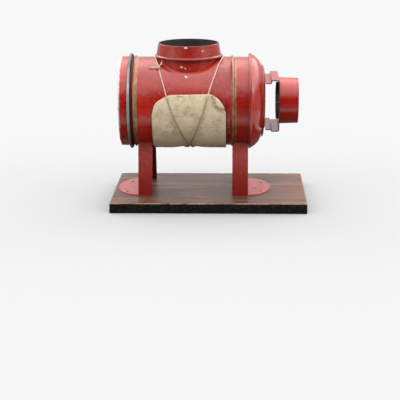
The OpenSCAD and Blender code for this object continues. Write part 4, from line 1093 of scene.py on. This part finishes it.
def make_cap():
    out = [(-81.95, 46.2)] + [(-82.4 - 1.1 * i, 46.2) for i in range(7)]
    out += [(-90.1 + 1.2 * math.cos(math.radians(q)), 45.0 + 1.2 * math.sin(math.radians(q))) for q in range(90, 181, 15)]
    out += [(-91.3, 44.4), (-91.3, 43.5), (-91.3, 42.5), (-91.3, 41.5)]
    inn = [(-90.6, 41.5), (-90.6, 42.8), (-90.6, 44.2), (-90.55, 45.0), (-90.1, 45.5), (-88.5, 45.5), (-86.5, 45.5), (-84.2, 45.5), (-81.95, 45.5)]
    v, f = lathe(out + inn, 288, cap_bend)
    return piece("rear_cap_band", v, f, M_CAP, "rear_lid", "rear_cap", split=38)


# the wire that holds the rear lens: an open ring with one end bent out
def make_ring():
    za = AZ + 0.5

    def at(x, r, deg):
        t = math.radians(deg)
        return Vector((x, AY - r * math.sin(t), za + r * math.cos(t)))
    pts = [at(71.75, 18.0, 84.0 + 350.0 * i / 120) for i in range(0, 121)]
    # one end is led out through the side of the cell and bent back
    pts = [at(68.0, 20.3, 86.5), at(69.0, 19.9, 85.6), at(70.0, 19.8, 85.2), at(70.7, 19.7, 84.8), at(71.2, 19.0, 84.3)] + pts
    P = catmull(pts, 3)
    v, f = [], []
    tube_mesh(P, [0.42] * len(P), 10, False, v, f, lambda q: Vector((1, 0, 0.02)))
    return piece("rear_lens_wire", v, f, M_WIRE, "front_cap", "rear_lens_ring", split=50)


make_board()
make_card()
make_string()
make_knot()
make_cap()
make_ring()

# ------------------------------------------------------------------ stage and light
def plane(name, x0, y0, x1, y1, z):
    me = bpy.data.meshes.new(name)
    me.from_pydata([(x0, y0, z), (x1, y0, z), (x1, y1, z), (x0, y1, z)], [], [(0, 1, 2, 3)])
    o = bpy.data.objects.new(name, me)
    scene.collection.objects.link(o)
    return o


def make_stage():
    # the floor that shows; it takes the contact shadows
    floor = plane("floor", -12, -12, 12, 12, -0.0001)
    g = Graph("floor")
    floor.data.materials.append(g.shader((0.287, 0.291, 0.300), 0.85, spec=0.1))
    floor.visible_diffuse = False
    floor.visible_glossy = False
    # what the object sees below it: a dark table top with a pale surround, as a lit card
    card = plane("bounce_card", -12, -12, 12, 12, -0.0003)
    card.visible_camera = False
    card.visible_shadow = False
    card.visible_transmission = False
    g = Graph("bounce_card")
    x, y, z = g.xyz()
    side = g.sub(g.math("ABSOLUTE", x), 0.150)
    front = g.sub(g.mul(y, -1.0), 0.088)
    back = g.sub(y, 0.150)
    outer = g.mx(side, back)
    lum_f = g.mul(g.ramp(g.math("DIVIDE", front, 1.0, clamp=True), [(0.0, 0.06), (0.012, 0.22), (0.036, 0.60), (0.072, 0.66), (0.104, 0.46),
                          (0.134, 0.21), (0.254, 0.18), (0.369, 0.25), (0.60, 0.02), (1.0, 0.01)]), 2.0)
    lum_o = g.mul(g.smooth(outer, 0.0, 0.016), g.smooth(outer, 0.45, 0.18, 0.70, 1.45))
    lum = g.mixf(g.smooth(g.sub(outer, g.mx(front, 0.0)), 0.0, 0.02), lum_f, lum_o)
    em = g.node("ShaderNodeEmission", {"Color": (1.0, 0.985, 0.97), "Strength": lum})
    o = g.node("ShaderNodeOutputMaterial")
    g.t.links.new(em.outputs[0], o.inputs[0])
    card.data.materials.append(g.id)


def make_world():
    g = Graph("studio", world=True)
    scene.world = g.id
    d = g.node("ShaderNodeTexCoord").outputs["Generated"]
    x, y, z = g.xyz(d)
    e = g.math("DIVIDE", g.math("ARCTAN2", z, g.mul(y, -1.0)), math.pi)     # 0 front horizon, 1 back horizon
    top = [(0, 0.0), (15, 0.0), (18, 0.08), (24, 0.4), (31, 0.8), (36, 1.65), (41, 2.15), (47, 2.45), (52, 2.95), (63, 3.35), (75, 3.6),
           (87, 3.9), (94, 4.2), (101, 4.5), (109, 4.8), (120, 4.9), (129, 4.2), (137, 3.0), (145, 2.0), (152, 1.4), (160, 1.0),
           (165, 0.88), (172, 0.8), (180, 0.78)]
    s = g.mul(g.ramp(e, [(a / 180, v / 6.0) for a, v in top]), 6.0)
    ax = g.math("ABSOLUTE", x)
    w = g.smooth(ax, 0.25, 0.45)
    front = g.smooth(y, -0.15, -0.45)
    rise = [(0.0, 0.65), (0.15, 0.8), (0.25, 1.3), (0.33, 2.4), (0.40, 5.0), (0.60, 5.0), (0.70, 3.2), (0.85, 2.2), (1.0, 2.0)]
    side = g.mul(g.ramp(z, [(a, v / 6.0) for a, v in rise]), 6.0)
    side = g.mul(side, g.mixf(front, 1.0, g.smooth(ax, 0.70, 0.82, 0.6, 2.0)))
    val = g.add(g.mul(s, g.sub(1.0, w)), g.mul(w, side))
    val = g.mixf(g.smooth(z, 0.012, 0.0), val, 0.985)
    bg = g.node("ShaderNodeBackground", {"Color": (1.0, 0.985, 0.965), "Strength": val})
    o = g.node("ShaderNodeOutputWorld")
    g.t.links.new(bg.outputs[0], o.inputs[0])


make_stage()
make_world()
